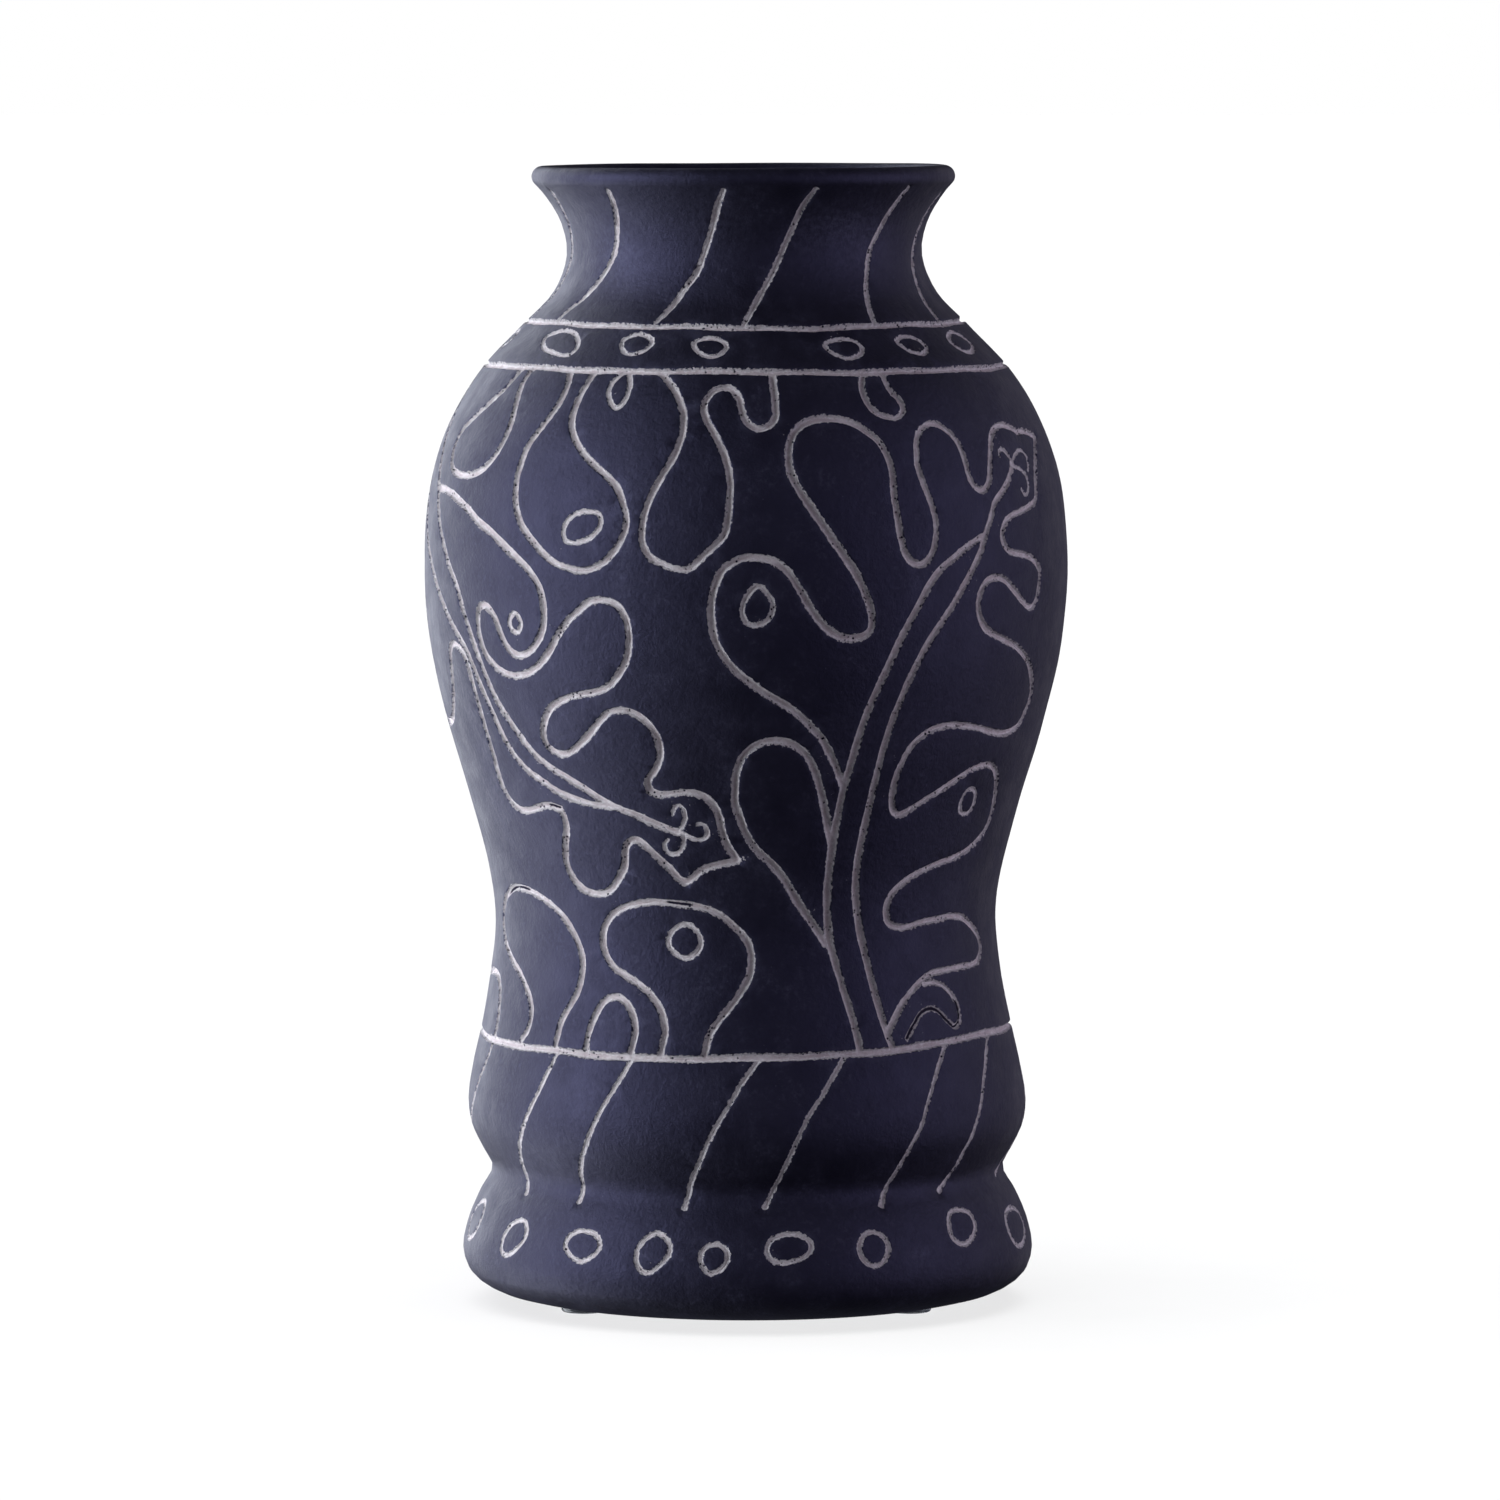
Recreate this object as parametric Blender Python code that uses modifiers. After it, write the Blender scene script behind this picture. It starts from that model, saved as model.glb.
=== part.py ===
"""Black clay pot on three stick-on foot pads, modelled in metres with +Z up.

The pot is one thrown and fired piece of clay: a hollow, turned wall with a rounded lip,
and three ring grooves cut round its outside. Three clear bumper pads are stuck under its foot.
The origin is on the surface that the pads stand on, on the pot's own axis, and the front is -Y.
"""

import bmesh
import bpy
from math import acos, cos, degrees, radians, sin
from mathutils import Matrix, Vector

MM = 0.001

# Foot pads: clear discs stuck under the clay, one at the back and two towards the front.
PAD_RADIUS = 6.5 * MM
PAD_HEIGHT = 2.4 * MM
PAD_EDGE_ROUNDING = 0.6 * MM
PAD_CIRCLE_RADIUS = 53 * MM
PAD_AZIMUTHS = {"foot_pad_front_left": -60, "foot_pad_front_right": 60, "foot_pad_rear": 180}
ADHESIVE_GAP = 0.3 * MM
CLAY_LIFT = PAD_HEIGHT + ADHESIVE_GAP

# The pot's outside, as (radius, height above the clay's underside) in mm, from the foot to the lip.
OUTSIDE_MM = (
    (65.2, 0.0),
    (73.3, 2.2),
    (78.9, 6.4),
    (81.0, 12.4),  # foot, at its widest
    (79.7, 20.3),
    (76.2, 28.8),
    (72.5, 35.8),  # crease above the foot
    (75.4, 41.8),
    (78.4, 48.3),
    (79.3, 55.2),  # lower bulge
    (77.8, 65.2),
    (75.0, 77.7),
    (72.2, 93.6),
    (71.0, 107.6),  # waist
    (72.4, 119.6),
    (77.6, 140.0),
    (84.1, 161.9),
    (89.3, 184.4),
    (91.2, 206.3),  # belly
    (89.0, 230.8),
    (83.2, 248.2),
    (74.4, 262.7),
    (63.2, 274.6),
    (53.8, 284.6),
    (50.1, 295.1),  # throat
    (51.9, 304.5),
    (56.6, 312.3),
)
# The inside, from the lip down to the middle of the floor.
INSIDE_MM = (
    (50.0, 311.0),
    (45.5, 304.0),
    (43.8, 295.1),  # throat
    (46.9, 285.6),
    (56.6, 274.6),
    (67.2, 262.7),
    (76.4, 248.7),
    (82.4, 230.8),
    (84.6, 206.3),  # belly
    (82.7, 184.4),
    (77.3, 161.9),
    (70.7, 139.5),
    (65.7, 121.1),
    (64.3, 107.6),  # waist
    (66.2, 90.6),
    (70.1, 70.6),
    (71.4, 54.8),
    (67.0, 36.8),
    (66.2, 26.8),
    (60.4, 15.6),
    (48.0, 10.8),
    (0.0, 9.8),
)
LIP_CENTRE_MM = (56.8, 317.0)
LIP_RADIUS_MM = 3.0
LIP_ARC_DEG = (-42, 186)  # round the bead, from its outside over the top to the inside

# Ring grooves cut square to the surface, by their height on the clay.
RING_GROOVE_HEIGHTS_MM = (75.2, 264.1, 276.1)
GROOVE_WIDTH_MM = 2.2
GROOVE_DEPTH_MM = 0.9
GROOVE_FLOOR_SHARE = 0.6

# How finely the turned outline is divided.
OUTLINE_STEP_MM = 0.2
MOST_TURN_DEG = 21
LONGEST_SEGMENT_MM = 17
TURNING_STEPS = 48
PAD_SIDES = 24
AXIS_MERGE = 0.00005


def clear_scene():
    for item in list(bpy.data.objects):
        bpy.data.objects.remove(item)


def material(name, colour, roughness, metallic=0.0, transmission=0.0):
    made = bpy.data.materials.new(name)
    made.use_nodes = True
    shader = made.node_tree.nodes["Principled BSDF"]
    shader.inputs["Base Color"].default_value = (*colour, 1)
    shader.inputs["Roughness"].default_value = roughness
    shader.inputs["Metallic"].default_value = metallic
    shader.inputs["Transmission Weight"].default_value = transmission
    return made


def smooth_curve(points, step):
    """Points about a step apart on a centripetal Catmull-Rom curve through the given ones."""
    points = [Vector(p) for p in points]
    ends = [2 * points[0] - points[1], *points, 2 * points[-1] - points[-2]]
    curve = []
    for p0, p1, p2, p3 in zip(ends, ends[1:], ends[2:], ends[3:]):
        t1 = (p1 - p0).length ** 0.5
        t2 = t1 + (p2 - p1).length ** 0.5
        t3 = t2 + (p3 - p2).length ** 0.5
        count = max(1, round((p2 - p1).length / step))
        for i in range(count):
            t = t1 + (t2 - t1) * i / count
            a1 = p0.lerp(p1, t / t1)
            a2 = p1.lerp(p2, (t - t1) / (t2 - t1))
            a3 = p2.lerp(p3, (t - t2) / (t3 - t2))
            b1 = a1.lerp(a2, t / t2)
            b2 = a2.lerp(a3, (t - t1) / (t3 - t1))
            curve.append(b1.lerp(b2, (t - t1) / (t2 - t1)))
    return [*curve, points[-1]]


def groove_depth(distance):
    """Depth at a distance from a groove's middle: a flat floor and two sloping sides."""
    half = GROOVE_WIDTH_MM / 2
    floor = half * GROOVE_FLOOR_SHARE
    if distance <= floor:
        return GROOVE_DEPTH_MM
    return GROOVE_DEPTH_MM * max(0.0, (half - distance) / (half - floor))


def cut_ring_grooves(curve):
    """The outside curve with the ring grooves sunk into it. It runs upwards."""
    middles = [
        min(curve, key=lambda p: abs(p.y - height)).copy() for height in RING_GROOVE_HEIGHTS_MM
    ]
    cut = []
    for before, here, after in zip(curve[:1] + curve, curve, curve[1:] + curve[-1:]):
        along = (after - before).normalized()
        inwards = Vector((-along.y, along.x))
        depth = max(groove_depth((here - middle).length) for middle in middles)
        cut.append(here + inwards * depth)
    return cut


def lip_arc():
    """The rounded lip, from its outside over the top to the inside of the mouth."""
    first, last = LIP_ARC_DEG
    turns = [radians(angle) for angle in range(first, last + 1, 4)]
    return [
        Vector(LIP_CENTRE_MM) + LIP_RADIUS_MM * Vector((cos(turn), sin(turn))) for turn in turns
    ]


def turn_between(before, here, after):
    first, second = (here - before).normalized(), (after - here).normalized()
    return degrees(acos(max(-1.0, min(1.0, first.dot(second)))))


def thin_out(curve):
    """Keeps only the points that the outline's bends and length need."""
    kept = [curve[0]]
    turned = travelled = 0.0
    for before, here, after in zip(curve, curve[1:], curve[2:]):
        step_turn = turn_between(before, here, after)
        step_length = (here - before).length
        if turned + step_turn > MOST_TURN_DEG or travelled + step_length > LONGEST_SEGMENT_MM:
            kept.append(here)
            turned = travelled = 0.0
        turned += step_turn
        travelled += step_length
    return [*kept, curve[-1]]


def pot_outline():
    """The wall's closed outline in mm: up the inside from the floor's middle, over the lip,
    down the outside and back to the axis."""
    outside = cut_ring_grooves(smooth_curve(OUTSIDE_MM, OUTLINE_STEP_MM))
    inside = smooth_curve(INSIDE_MM, OUTLINE_STEP_MM)
    upwards = thin_out(inside)[::-1]
    over_the_lip = thin_out(lip_arc())[::-1]
    downwards = thin_out(outside)[::-1]
    return [*upwards, *over_the_lip, *downwards, Vector((0, 0))]


def make_pot(collection, clay):
    outline = pot_outline()
    mesh = bpy.data.meshes.new("pot_body")
    points = [(p.x * MM, 0, p.y * MM) for p in outline]
    mesh.from_pydata(points, [(i, i + 1) for i in range(len(points) - 1)], [])
    pot = bpy.data.objects.new("pot_body", mesh)
    pot.location.z = CLAY_LIFT
    pot.data.materials.append(clay)
    collection.objects.link(pot)
    turning = pot.modifiers.new("turning", "SCREW")
    turning.axis = "Z"
    turning.steps = turning.render_steps = TURNING_STEPS
    turning.use_merge_vertices = True
    turning.merge_threshold = AXIS_MERGE
    turning.use_smooth_shade = True
    return pot


def pad_mesh(plastic):
    """One disc with rounded edges, standing on its own origin."""
    mesh = bpy.data.meshes.new("foot_pad")
    shape = bmesh.new()
    bmesh.ops.create_cone(
        shape,
        cap_ends=True,
        segments=PAD_SIDES,
        radius1=PAD_RADIUS,
        radius2=PAD_RADIUS,
        depth=PAD_HEIGHT,
        matrix=Matrix.Translation((0, 0, PAD_HEIGHT / 2)),
    )
    shape.to_mesh(mesh)
    shape.free()
    mesh.materials.append(plastic)
    mesh.shade_smooth()
    mesh.set_sharp_from_angle(angle=radians(40))
    return mesh


def make_pads(collection, plastic):
    mesh = pad_mesh(plastic)
    for name, azimuth in PAD_AZIMUTHS.items():
        pad = bpy.data.objects.new(name, mesh)
        turn = radians(azimuth)
        pad.location = (PAD_CIRCLE_RADIUS * sin(turn), -PAD_CIRCLE_RADIUS * cos(turn), 0)
        collection.objects.link(pad)
        rounding = pad.modifiers.new("rounded_edges", "BEVEL")
        rounding.width = PAD_EDGE_ROUNDING
        rounding.segments = 2
        rounding.limit_method = "ANGLE"


def main():
    clear_scene()
    collection = bpy.data.collections.new("black_clay_pot")
    bpy.context.scene.collection.children.link(collection)
    clay = material("black_clay", (0.022, 0.020, 0.030), roughness=0.62)
    plastic = material("clear_pad", (0.60, 0.62, 0.68), roughness=0.3, transmission=0.5)
    make_pot(collection, clay)
    make_pads(collection, plastic)


main()
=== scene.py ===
import math

import bpy
import numpy as np
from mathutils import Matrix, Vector, kdtree, noise
from mathutils.geometry import delaunay_2d_cdt


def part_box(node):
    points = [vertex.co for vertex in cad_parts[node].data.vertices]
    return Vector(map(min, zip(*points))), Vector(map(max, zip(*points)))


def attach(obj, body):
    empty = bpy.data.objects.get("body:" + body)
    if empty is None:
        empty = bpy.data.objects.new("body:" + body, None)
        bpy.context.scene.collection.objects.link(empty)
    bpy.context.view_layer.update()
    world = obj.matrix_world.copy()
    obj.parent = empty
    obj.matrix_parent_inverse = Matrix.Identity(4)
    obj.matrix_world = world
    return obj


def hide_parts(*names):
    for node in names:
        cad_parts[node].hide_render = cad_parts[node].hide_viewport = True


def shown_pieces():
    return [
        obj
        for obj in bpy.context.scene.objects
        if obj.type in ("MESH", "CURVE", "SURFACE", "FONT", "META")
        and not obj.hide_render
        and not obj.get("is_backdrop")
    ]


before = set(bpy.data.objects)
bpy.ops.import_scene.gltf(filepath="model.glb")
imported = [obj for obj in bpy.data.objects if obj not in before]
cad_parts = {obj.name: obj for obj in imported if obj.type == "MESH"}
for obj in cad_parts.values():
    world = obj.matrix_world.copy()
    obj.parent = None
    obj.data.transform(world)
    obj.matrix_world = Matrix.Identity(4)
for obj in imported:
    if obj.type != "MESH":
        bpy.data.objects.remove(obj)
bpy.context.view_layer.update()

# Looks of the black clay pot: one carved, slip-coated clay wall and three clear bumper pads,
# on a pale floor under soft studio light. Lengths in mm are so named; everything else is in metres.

MM = 0.001
CLAY_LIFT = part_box("pot_body")[0].z
PADS = ("foot_pad_front_left", "foot_pad_front_right", "foot_pad_rear")
CHANCE = np.random.default_rng(52)

# --- the turned wall: (radius, height above the clay's underside) in mm, as the CAD part has it ---

OUTSIDE_MM = (
    (65.2, 0.0), (73.3, 2.2), (78.9, 6.4), (81.0, 12.4), (79.7, 20.3), (76.2, 28.8),
    (72.5, 35.8), (75.4, 41.8), (78.4, 48.3), (79.3, 55.2), (77.8, 65.2), (75.0, 77.7),
    (72.2, 93.6), (71.0, 107.6), (72.4, 119.6), (77.6, 140.0), (84.1, 161.9), (89.3, 184.4),
    (91.2, 206.3), (89.0, 230.8), (83.2, 248.2), (74.4, 262.7), (63.2, 274.6), (53.8, 284.6),
    (50.1, 295.1), (51.9, 304.5), (56.6, 312.3), (59.0, 315.0),
)
INSIDE_MM = (
    (50.0, 311.0), (45.5, 304.0), (43.8, 295.1), (46.9, 285.6), (56.6, 274.6), (67.2, 262.7),
    (76.4, 248.7), (82.4, 230.8), (84.6, 206.3), (82.7, 184.4), (77.3, 161.9), (70.7, 139.5),
    (65.7, 121.1), (64.3, 107.6), (66.2, 90.6), (70.1, 70.6), (71.4, 54.8), (67.0, 36.8),
    (66.2, 26.8), (60.4, 15.6), (48.0, 10.8), (0.0, 9.8),
)
LIP_CENTRE_MM = (56.8, 317.0)
LIP_RADIUS_MM = 3.0
LIP_ARC_DEG = (-42, 186)

# How far the pot's axis leans to the right (+X), as (height, lean) in mm.
LEAN_MM = ((0, 0.5), (36, 0.3), (107, -0.3), (206, 0.0), (275, -0.2), (295, -0.5), (320, -0.9))

# --- the carved lines: (degrees round from the front, height on the clay in mm) ---

LOW_RING = ((-88, 75), (-60, 74.2), (-25, 74.1), (0, 74.4), (15, 74.8), (35, 75.6), (48, 76.3),
            (65, 76.9), (85, 76.7), (130, 75.6), (175, 74.8), (225, 75.3))
BAND_RING = ((-88, 264.2), (-40, 264.2), (0, 264.1), (50, 263.7), (85, 263.9), (150, 264.3), (210, 263.7))
NECK_RING = ((-88, 276.2), (-50, 276.3), (-10, 275.9), (20, 275.8), (50, 276.1), (85, 276.2),
             (150, 275.6), (210, 276.1))

NECK_SLANTS = (
    ((-70, 312.8), (-71.6, 308), (-73.1, 301.9), (-75, 295.5), (-77.8, 289.2), (-81.5, 283), (-85, 277)),
    ((-40.6, 313.6), (-41.5, 309), (-43.4, 303.7), (-45.7, 297.3), (-48.4, 292.4), (-51.6, 287.9),
     (-55.3, 283.4), (-58.5, 280.2), (-60, 277)),
    ((-5.4, 313.9), (-7.8, 309), (-10, 302.8), (-12.8, 296.4), (-15, 291), (-18.3, 286.5), (-21, 282),
     (-24.1, 277.2)),
    ((20.3, 314.3), (17.5, 309), (15, 302.8), (11.9, 296.4), (8.9, 291), (5.1, 285.6), (2.1, 281.1),
     (-0.5, 276.6)),
    ((52.2, 314.4), (49.8, 308.2), (47.6, 302.8), (44.4, 296.9), (41.9, 291), (39.4, 286.1),
     (37.4, 281.1), (35.7, 276.6)),
    ((77.2, 312), (73.9, 303.7), (71.1, 297.3), (67.8, 291), (65.6, 285.6), (63.7, 281.1), (62.2, 276.8)),
)
FOOT_SLANTS = (
    ((-70, 74), (-71.6, 68.3), (-73.9, 63.8), (-76.2, 58.3), (-79, 53.8), (-82.4, 50.7), (-87, 49)),
    ((-44, 73.5), (-46.3, 66.5), (-48.3, 61), (-50.6, 55.6), (-53.1, 50.2), (-55.5, 45.3), (-57.2, 41.2),
     (-58.2, 37.1), (-57, 32.6)),
    ((-24.4, 74), (-27.1, 67.4), (-29.9, 61), (-32.4, 54.7), (-34.7, 48.9), (-37, 43.9), (-38.6, 39.4),
     (-39.2, 32.4)),
    ((2.7, 74), (-0.6, 68.3), (-3.4, 61.9), (-6.2, 55.6), (-8.5, 49.3), (-10.4, 43.9), (-12.4, 38.5),
     (-13.6, 32.3)),
    ((21.4, 75), (18, 68.7), (15.2, 63.3), (12.7, 58.8), (10.7, 53.4), (9, 48), (7.3, 42.1), (5.6, 37.1),
     (3.8, 32.8)),
    ((47.9, 76.2), (45.1, 71.4), (42.6, 66.5), (40, 60.6), (37.8, 54.3), (35.5, 48.4), (33.8, 42.5),
     (32.1, 36.7), (30.1, 32.2)),
    ((64.6, 76.8), (61.2, 70.1), (58.4, 63.8), (56, 57.9), (53.8, 52), (52, 46.2), (51.2, 41.2),
     (49.5, 36.7), (47.3, 34.4)),
    ((91, 75.5), (88.5, 68), (86.3, 61), (84.3, 54), (82.2, 47.5), (80, 41), (77.8, 37), (75.4, 35.4)),
)
# Closed ovals by their own points.
BAND_OVALS = (
    ((-58.7, 272.3), (-55, 274), (-51.3, 274.4), (-46.8, 273.2), (-43.6, 270), (-44.8, 267.9),
     (-50.8, 268.5), (-55.9, 269.8)),
    ((-31.2, 272.3), (-27.4, 274.1), (-23.1, 272.1), (-24.3, 269.5), (-27.7, 268.6), (-30.4, 270)),
    ((-12.6, 271.8), (-9.6, 273), (-5.4, 272.4), (-4.5, 270.3), (-7.3, 268.1), (-11, 269.3)),
    ((19.1, 271.3), (24.3, 272.7), (27.6, 272), (28.5, 269.8), (24.8, 267.5), (20.9, 268.6)),
    ((39.4, 272), (43.4, 273.1), (46.8, 272), (47.8, 269.8), (44.6, 268.2), (40.6, 269.8)),
    ((58.9, 271.5), (63.7, 273.7), (67.7, 272.4), (69.2, 270.2), (65.4, 268.2), (60.9, 268.7)),
    ((-88.5, 271.4), (-84, 273.6), (-79.6, 271.8), (-84, 268.8)),
)
FOOT_OVALS = (
    ((-82.3, 22.5), (-79.5, 26.6), (-75.5, 27.6), (-72.9, 24), (-74.6, 18.8), (-79.4, 16.9)),
    ((-59.2, 20.4), (-57.3, 24.3), (-53.6, 25.6), (-51.4, 22.2), (-53.4, 18), (-56.4, 15.7), (-58.9, 16.2)),
    ((-39.7, 20.4), (-38.9, 23.4), (-36.1, 24.9), (-32.4, 24), (-31, 21.3), (-32.4, 18.4), (-35.3, 16.6),
     (-37.8, 17.9)),
    ((-22.6, 17.7), (-22.2, 22.2), (-18.9, 25.6), (-16.4, 23.9), (-15.6, 20.9), (-17.8, 16.5),
     (-20.6, 14.6)),
    ((-9.5, 19.3), (-8.3, 22.4), (-5.9, 23.1), (-3.9, 20.4), (-5, 16.6), (-7.7, 15.1)),
    ((3.8, 21.5), (5.2, 24.6), (9.6, 25.7), (12.9, 23.4), (12.2, 20.2), (7.2, 18), (4.6, 19)),
    ((22.9, 21.3), (24.3, 24.6), (26.6, 25.4), (29.1, 23.4), (29.3, 19.6), (26.5, 16.1), (23.8, 17.6)),
    ((45.9, 23.4), (47.4, 28.1), (50.5, 29.1), (54.3, 27.2), (54.2, 23.4), (49.8, 19.6), (46.9, 20.8)),
    ((67.3, 22), (69.2, 25.2), (74.4, 26.1), (78.6, 23.8), (78.9, 19.6), (73.3, 15.7), (69, 17.1)),
)

# Loops that hang from the ring under the neck.
HANGING = (
    ((-57.6, 264), (-59.8, 258.5), (-63.2, 254), (-66.6, 250.4), (-70, 246.8), (-71.4, 242.3),
     (-70.8, 238.7), (-68.8, 235.5), (-65.4, 234.2), (-61.5, 234.2), (-57.5, 235.5), (-54.7, 238.2),
     (-52.7, 242.3), (-51.9, 246.8), (-52.2, 251.3), (-53.3, 255.8), (-54.2, 259.9), (-53.9, 264)),
    ((-41.4, 264), (-40.2, 260.3), (-40.5, 254.9), (-42.3, 249.5), (-44.6, 244.1), (-45.6, 238.7),
     (-45.9, 233.3), (-45.3, 226.9), (-43.4, 221.5), (-40.1, 216.6), (-36.7, 212.5), (-32.7, 210.2),
     (-29.3, 209.6), (-26, 211.6), (-23.1, 216.1), (-21.7, 220.6), (-21.4, 224.2), (-22.3, 228.7),
     (-23.7, 232.8), (-26.5, 236.4), (-29.9, 240), (-32.7, 243.6), (-35, 247.7), (-36, 252.2),
     (-35.7, 257.6), (-34.4, 264)),
    ((-18.8, 264), (-15.8, 260.8), (-13.5, 256.7), (-12.1, 252.2), (-12.1, 246.8), (-13.3, 241.4),
     (-15.2, 236), (-17.2, 229.7), (-18.3, 223.3), (-18.3, 217.9), (-16.9, 213.9), (-14.1, 211.6),
     (-11, 210.4), (-9.7, 210.9), (-7.9, 213.5), (-5.8, 216.6), (-4, 219.5), (-3.2, 223.8), (-2.9, 228.7),
     (-2.8, 233.5), (-3.2, 238.3), (-4.3, 243.1), (-6.1, 247.9), (-7.7, 251.7), (-8.3, 254.6),
     (-7.6, 257.5), (-6.1, 259.3), (-4, 260), (-2.5, 259.2), (-1.3, 257), (-0.8, 254.1), (-0.1, 251.3),
     (1.1, 249.6), (2.9, 248.8), (4.7, 250), (5.8, 252.2), (5.9, 255.6), (5.8, 259.4), (5.6, 264)),
    ((26.2, 264), (24.8, 259.9), (24.8, 256.7), (25.9, 253.6), (28.2, 251.8), (31, 251.5), (32.7, 253.6),
     (32.4, 256.3), (31, 259), (30.5, 264)),
)
TEARDROP = ((-26.8, 264), (-29, 261.2), (-29.3, 258.8), (-28.2, 255.8), (-26.5, 254), (-25.1, 255.8),
            (-24.8, 260.3), (-25.9, 264))
HANGING_OVAL = ((-29.1, 225.9), (-26.7, 225.3), (-26.3, 222.4), (-27.7, 219.3), (-31, 217.2),
                (-33.4, 217.8), (-33.8, 221.1), (-32.2, 224.6))

# The leaf that hangs to the left, with its doubled stem and curled tip.
HANGING_LEAF = (
    ((-88.6, 264), (-86.6, 257), (-84.4, 250.5), (-81.8, 244.6), (-79, 239.2), (-76.2, 232.4),
     (-73.9, 226.5), (-71.1, 219.3), (-68.3, 213.9), (-65.4, 208), (-62.6, 203.1), (-60.5, 196.7),
     (-58.4, 190.4), (-56.8, 184.6), (-55, 178.2), (-52.8, 171.5), (-49.6, 165.2), (-46.3, 159.3),
     (-42.9, 155.2), (-38.9, 152.1), (-34.4, 148.9), (-29.9, 145.3), (-27.1, 143.5), (-23.1, 141.7),
     (-19.2, 139.4), (-14.2, 137)),
    ((-92.5, 264), (-91, 252), (-89.3, 241), (-87, 232), (-84, 223.8), (-81.2, 216.6), (-77.3, 210.3),
     (-73.3, 204), (-69.4, 198.1), (-65.4, 192.2), (-61.5, 186.8), (-59.2, 181.4), (-57.3, 175.1),
     (-55.3, 168.8), (-53.6, 162.5), (-51.3, 157), (-48, 152.5), (-44, 149.4), (-40.1, 146.7),
     (-36.1, 145.1), (-32.2, 144), (-28.3, 143.7)),
    ((-75, 229.8), (-71.1, 229.7), (-67.1, 228.8), (-63.2, 227), (-59.2, 224.7), (-55.3, 221.6),
     (-51.3, 218.9), (-47.4, 215.3), (-44, 212.1), (-41.2, 208.9), (-38.9, 204.4), (-38.1, 199.5),
     (-38.1, 194.9), (-39.1, 191.1), (-40.9, 187.8), (-43.3, 185.5), (-45.7, 185.4), (-47.7, 187.7),
     (-49.1, 191.3), (-50.2, 194.9), (-51.9, 197.7), (-53.6, 198.6), (-55, 197.5), (-55.5, 194),
     (-55.3, 189.5), (-54.2, 185), (-51.9, 181.9), (-49.1, 179.9), (-46.3, 179.4), (-42.9, 180.5),
     (-39.9, 183), (-37.4, 186.7), (-35.1, 191.6), (-32.9, 195.5), (-30.6, 198.5), (-28.2, 201.2),
     (-25.4, 201.6), (-23.1, 200.4), (-21.4, 196.8), (-20.9, 191.3), (-21.4, 185.9), (-23.1, 181.4),
     (-25.4, 177.8), (-28.2, 176), (-31.6, 175.1), (-35, 173.6), (-38.2, 171.3), (-40.2, 168.2),
     (-41.4, 164.3), (-41.3, 160.9), (-39.9, 158.7), (-36.7, 158), (-33.6, 160.5), (-30.6, 164.1),
     (-28, 167.8), (-26, 170.3), (-23.1, 171.1), (-20.3, 169.9), (-18.1, 167.2), (-16.7, 163.4),
     (-16.4, 158.8), (-17.5, 154.8), (-19.4, 151.4), (-19.3, 148.5)),
    ((-19.3, 148.5), (-17.1, 147.6), (-15, 147.8), (-12.6, 148.3), (-10.2, 148.2), (-8.1, 147.1),
     (-6.5, 145), (-5.4, 141.8), (-4.9, 138), (-4, 134.1), (-3, 131.7), (-1.7, 129.2)),
    ((-1.7, 129.2), (-3.3, 128.7), (-5.4, 128.1), (-7.5, 127.4), (-9.6, 126.2), (-11.4, 124.2),
     (-13, 122.8)),
    ((-13, 122.8), (-14.7, 124), (-16.2, 126.4), (-18, 128.6), (-19.8, 130.8), (-21.6, 133.2),
     (-23.1, 134.4), (-24.9, 134), (-25.9, 132.2), (-26.4, 129.3), (-27, 126.4), (-28.2, 124),
     (-29.7, 121.5), (-31.6, 119.4), (-34.4, 118.6), (-37.8, 119.3), (-40.6, 122.1), (-42.1, 126.6),
     (-41.5, 132), (-40.3, 136.5), (-40.3, 140.1), (-41.2, 142.2)),
    ((-41.2, 142.2), (-44, 142.9), (-46.8, 142.4), (-50.2, 141.1), (-53.4, 140.9), (-56.2, 142.8),
     (-58.2, 146.5), (-58.7, 151), (-58.6, 155.5), (-59, 161.6), (-59.6, 168.8), (-60.3, 175.1),
     (-60.9, 180.5), (-62.1, 184.1), (-64.3, 186.2), (-66.4, 186.7), (-68, 184.6), (-68.9, 179.6),
     (-70.2, 174.2), (-72.6, 169.1), (-75.5, 165.3), (-79, 163.7), (-82.4, 162.9), (-86, 163.5),
     (-89.2, 167), (-90.3, 173), (-89.4, 180), (-86.6, 186), (-85.4, 192), (-86.6, 198), (-89.4, 204),
     (-91.2, 211), (-90.8, 220), (-88.2, 229)),
)
LEAF_CURLS = (
    ((-14.2, 137), (-13.2, 138.3), (-12.4, 140.4), (-12.4, 142.8), (-13.2, 144.5), (-14.1, 144.4),
     (-14.7, 143), (-14.9, 142)),
    ((-14.2, 137), (-13, 136.3), (-12.8, 134.9), (-13.2, 132.7), (-14.5, 131), (-16, 130.9),
     (-17.1, 132.2), (-16.9, 134.1), (-16.3, 134.8)),
    ((-13.2, 136.8), (-11.1, 135.4), (-9.3, 135), (-8, 136.1), (-7.9, 138.1), (-8.8, 139.4), (-9.9, 139.4)),
)
LEAF_OVAL = ((-45, 197.2), (-43.4, 194.2), (-44.9, 191.2), (-46.6, 194.2))

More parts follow.
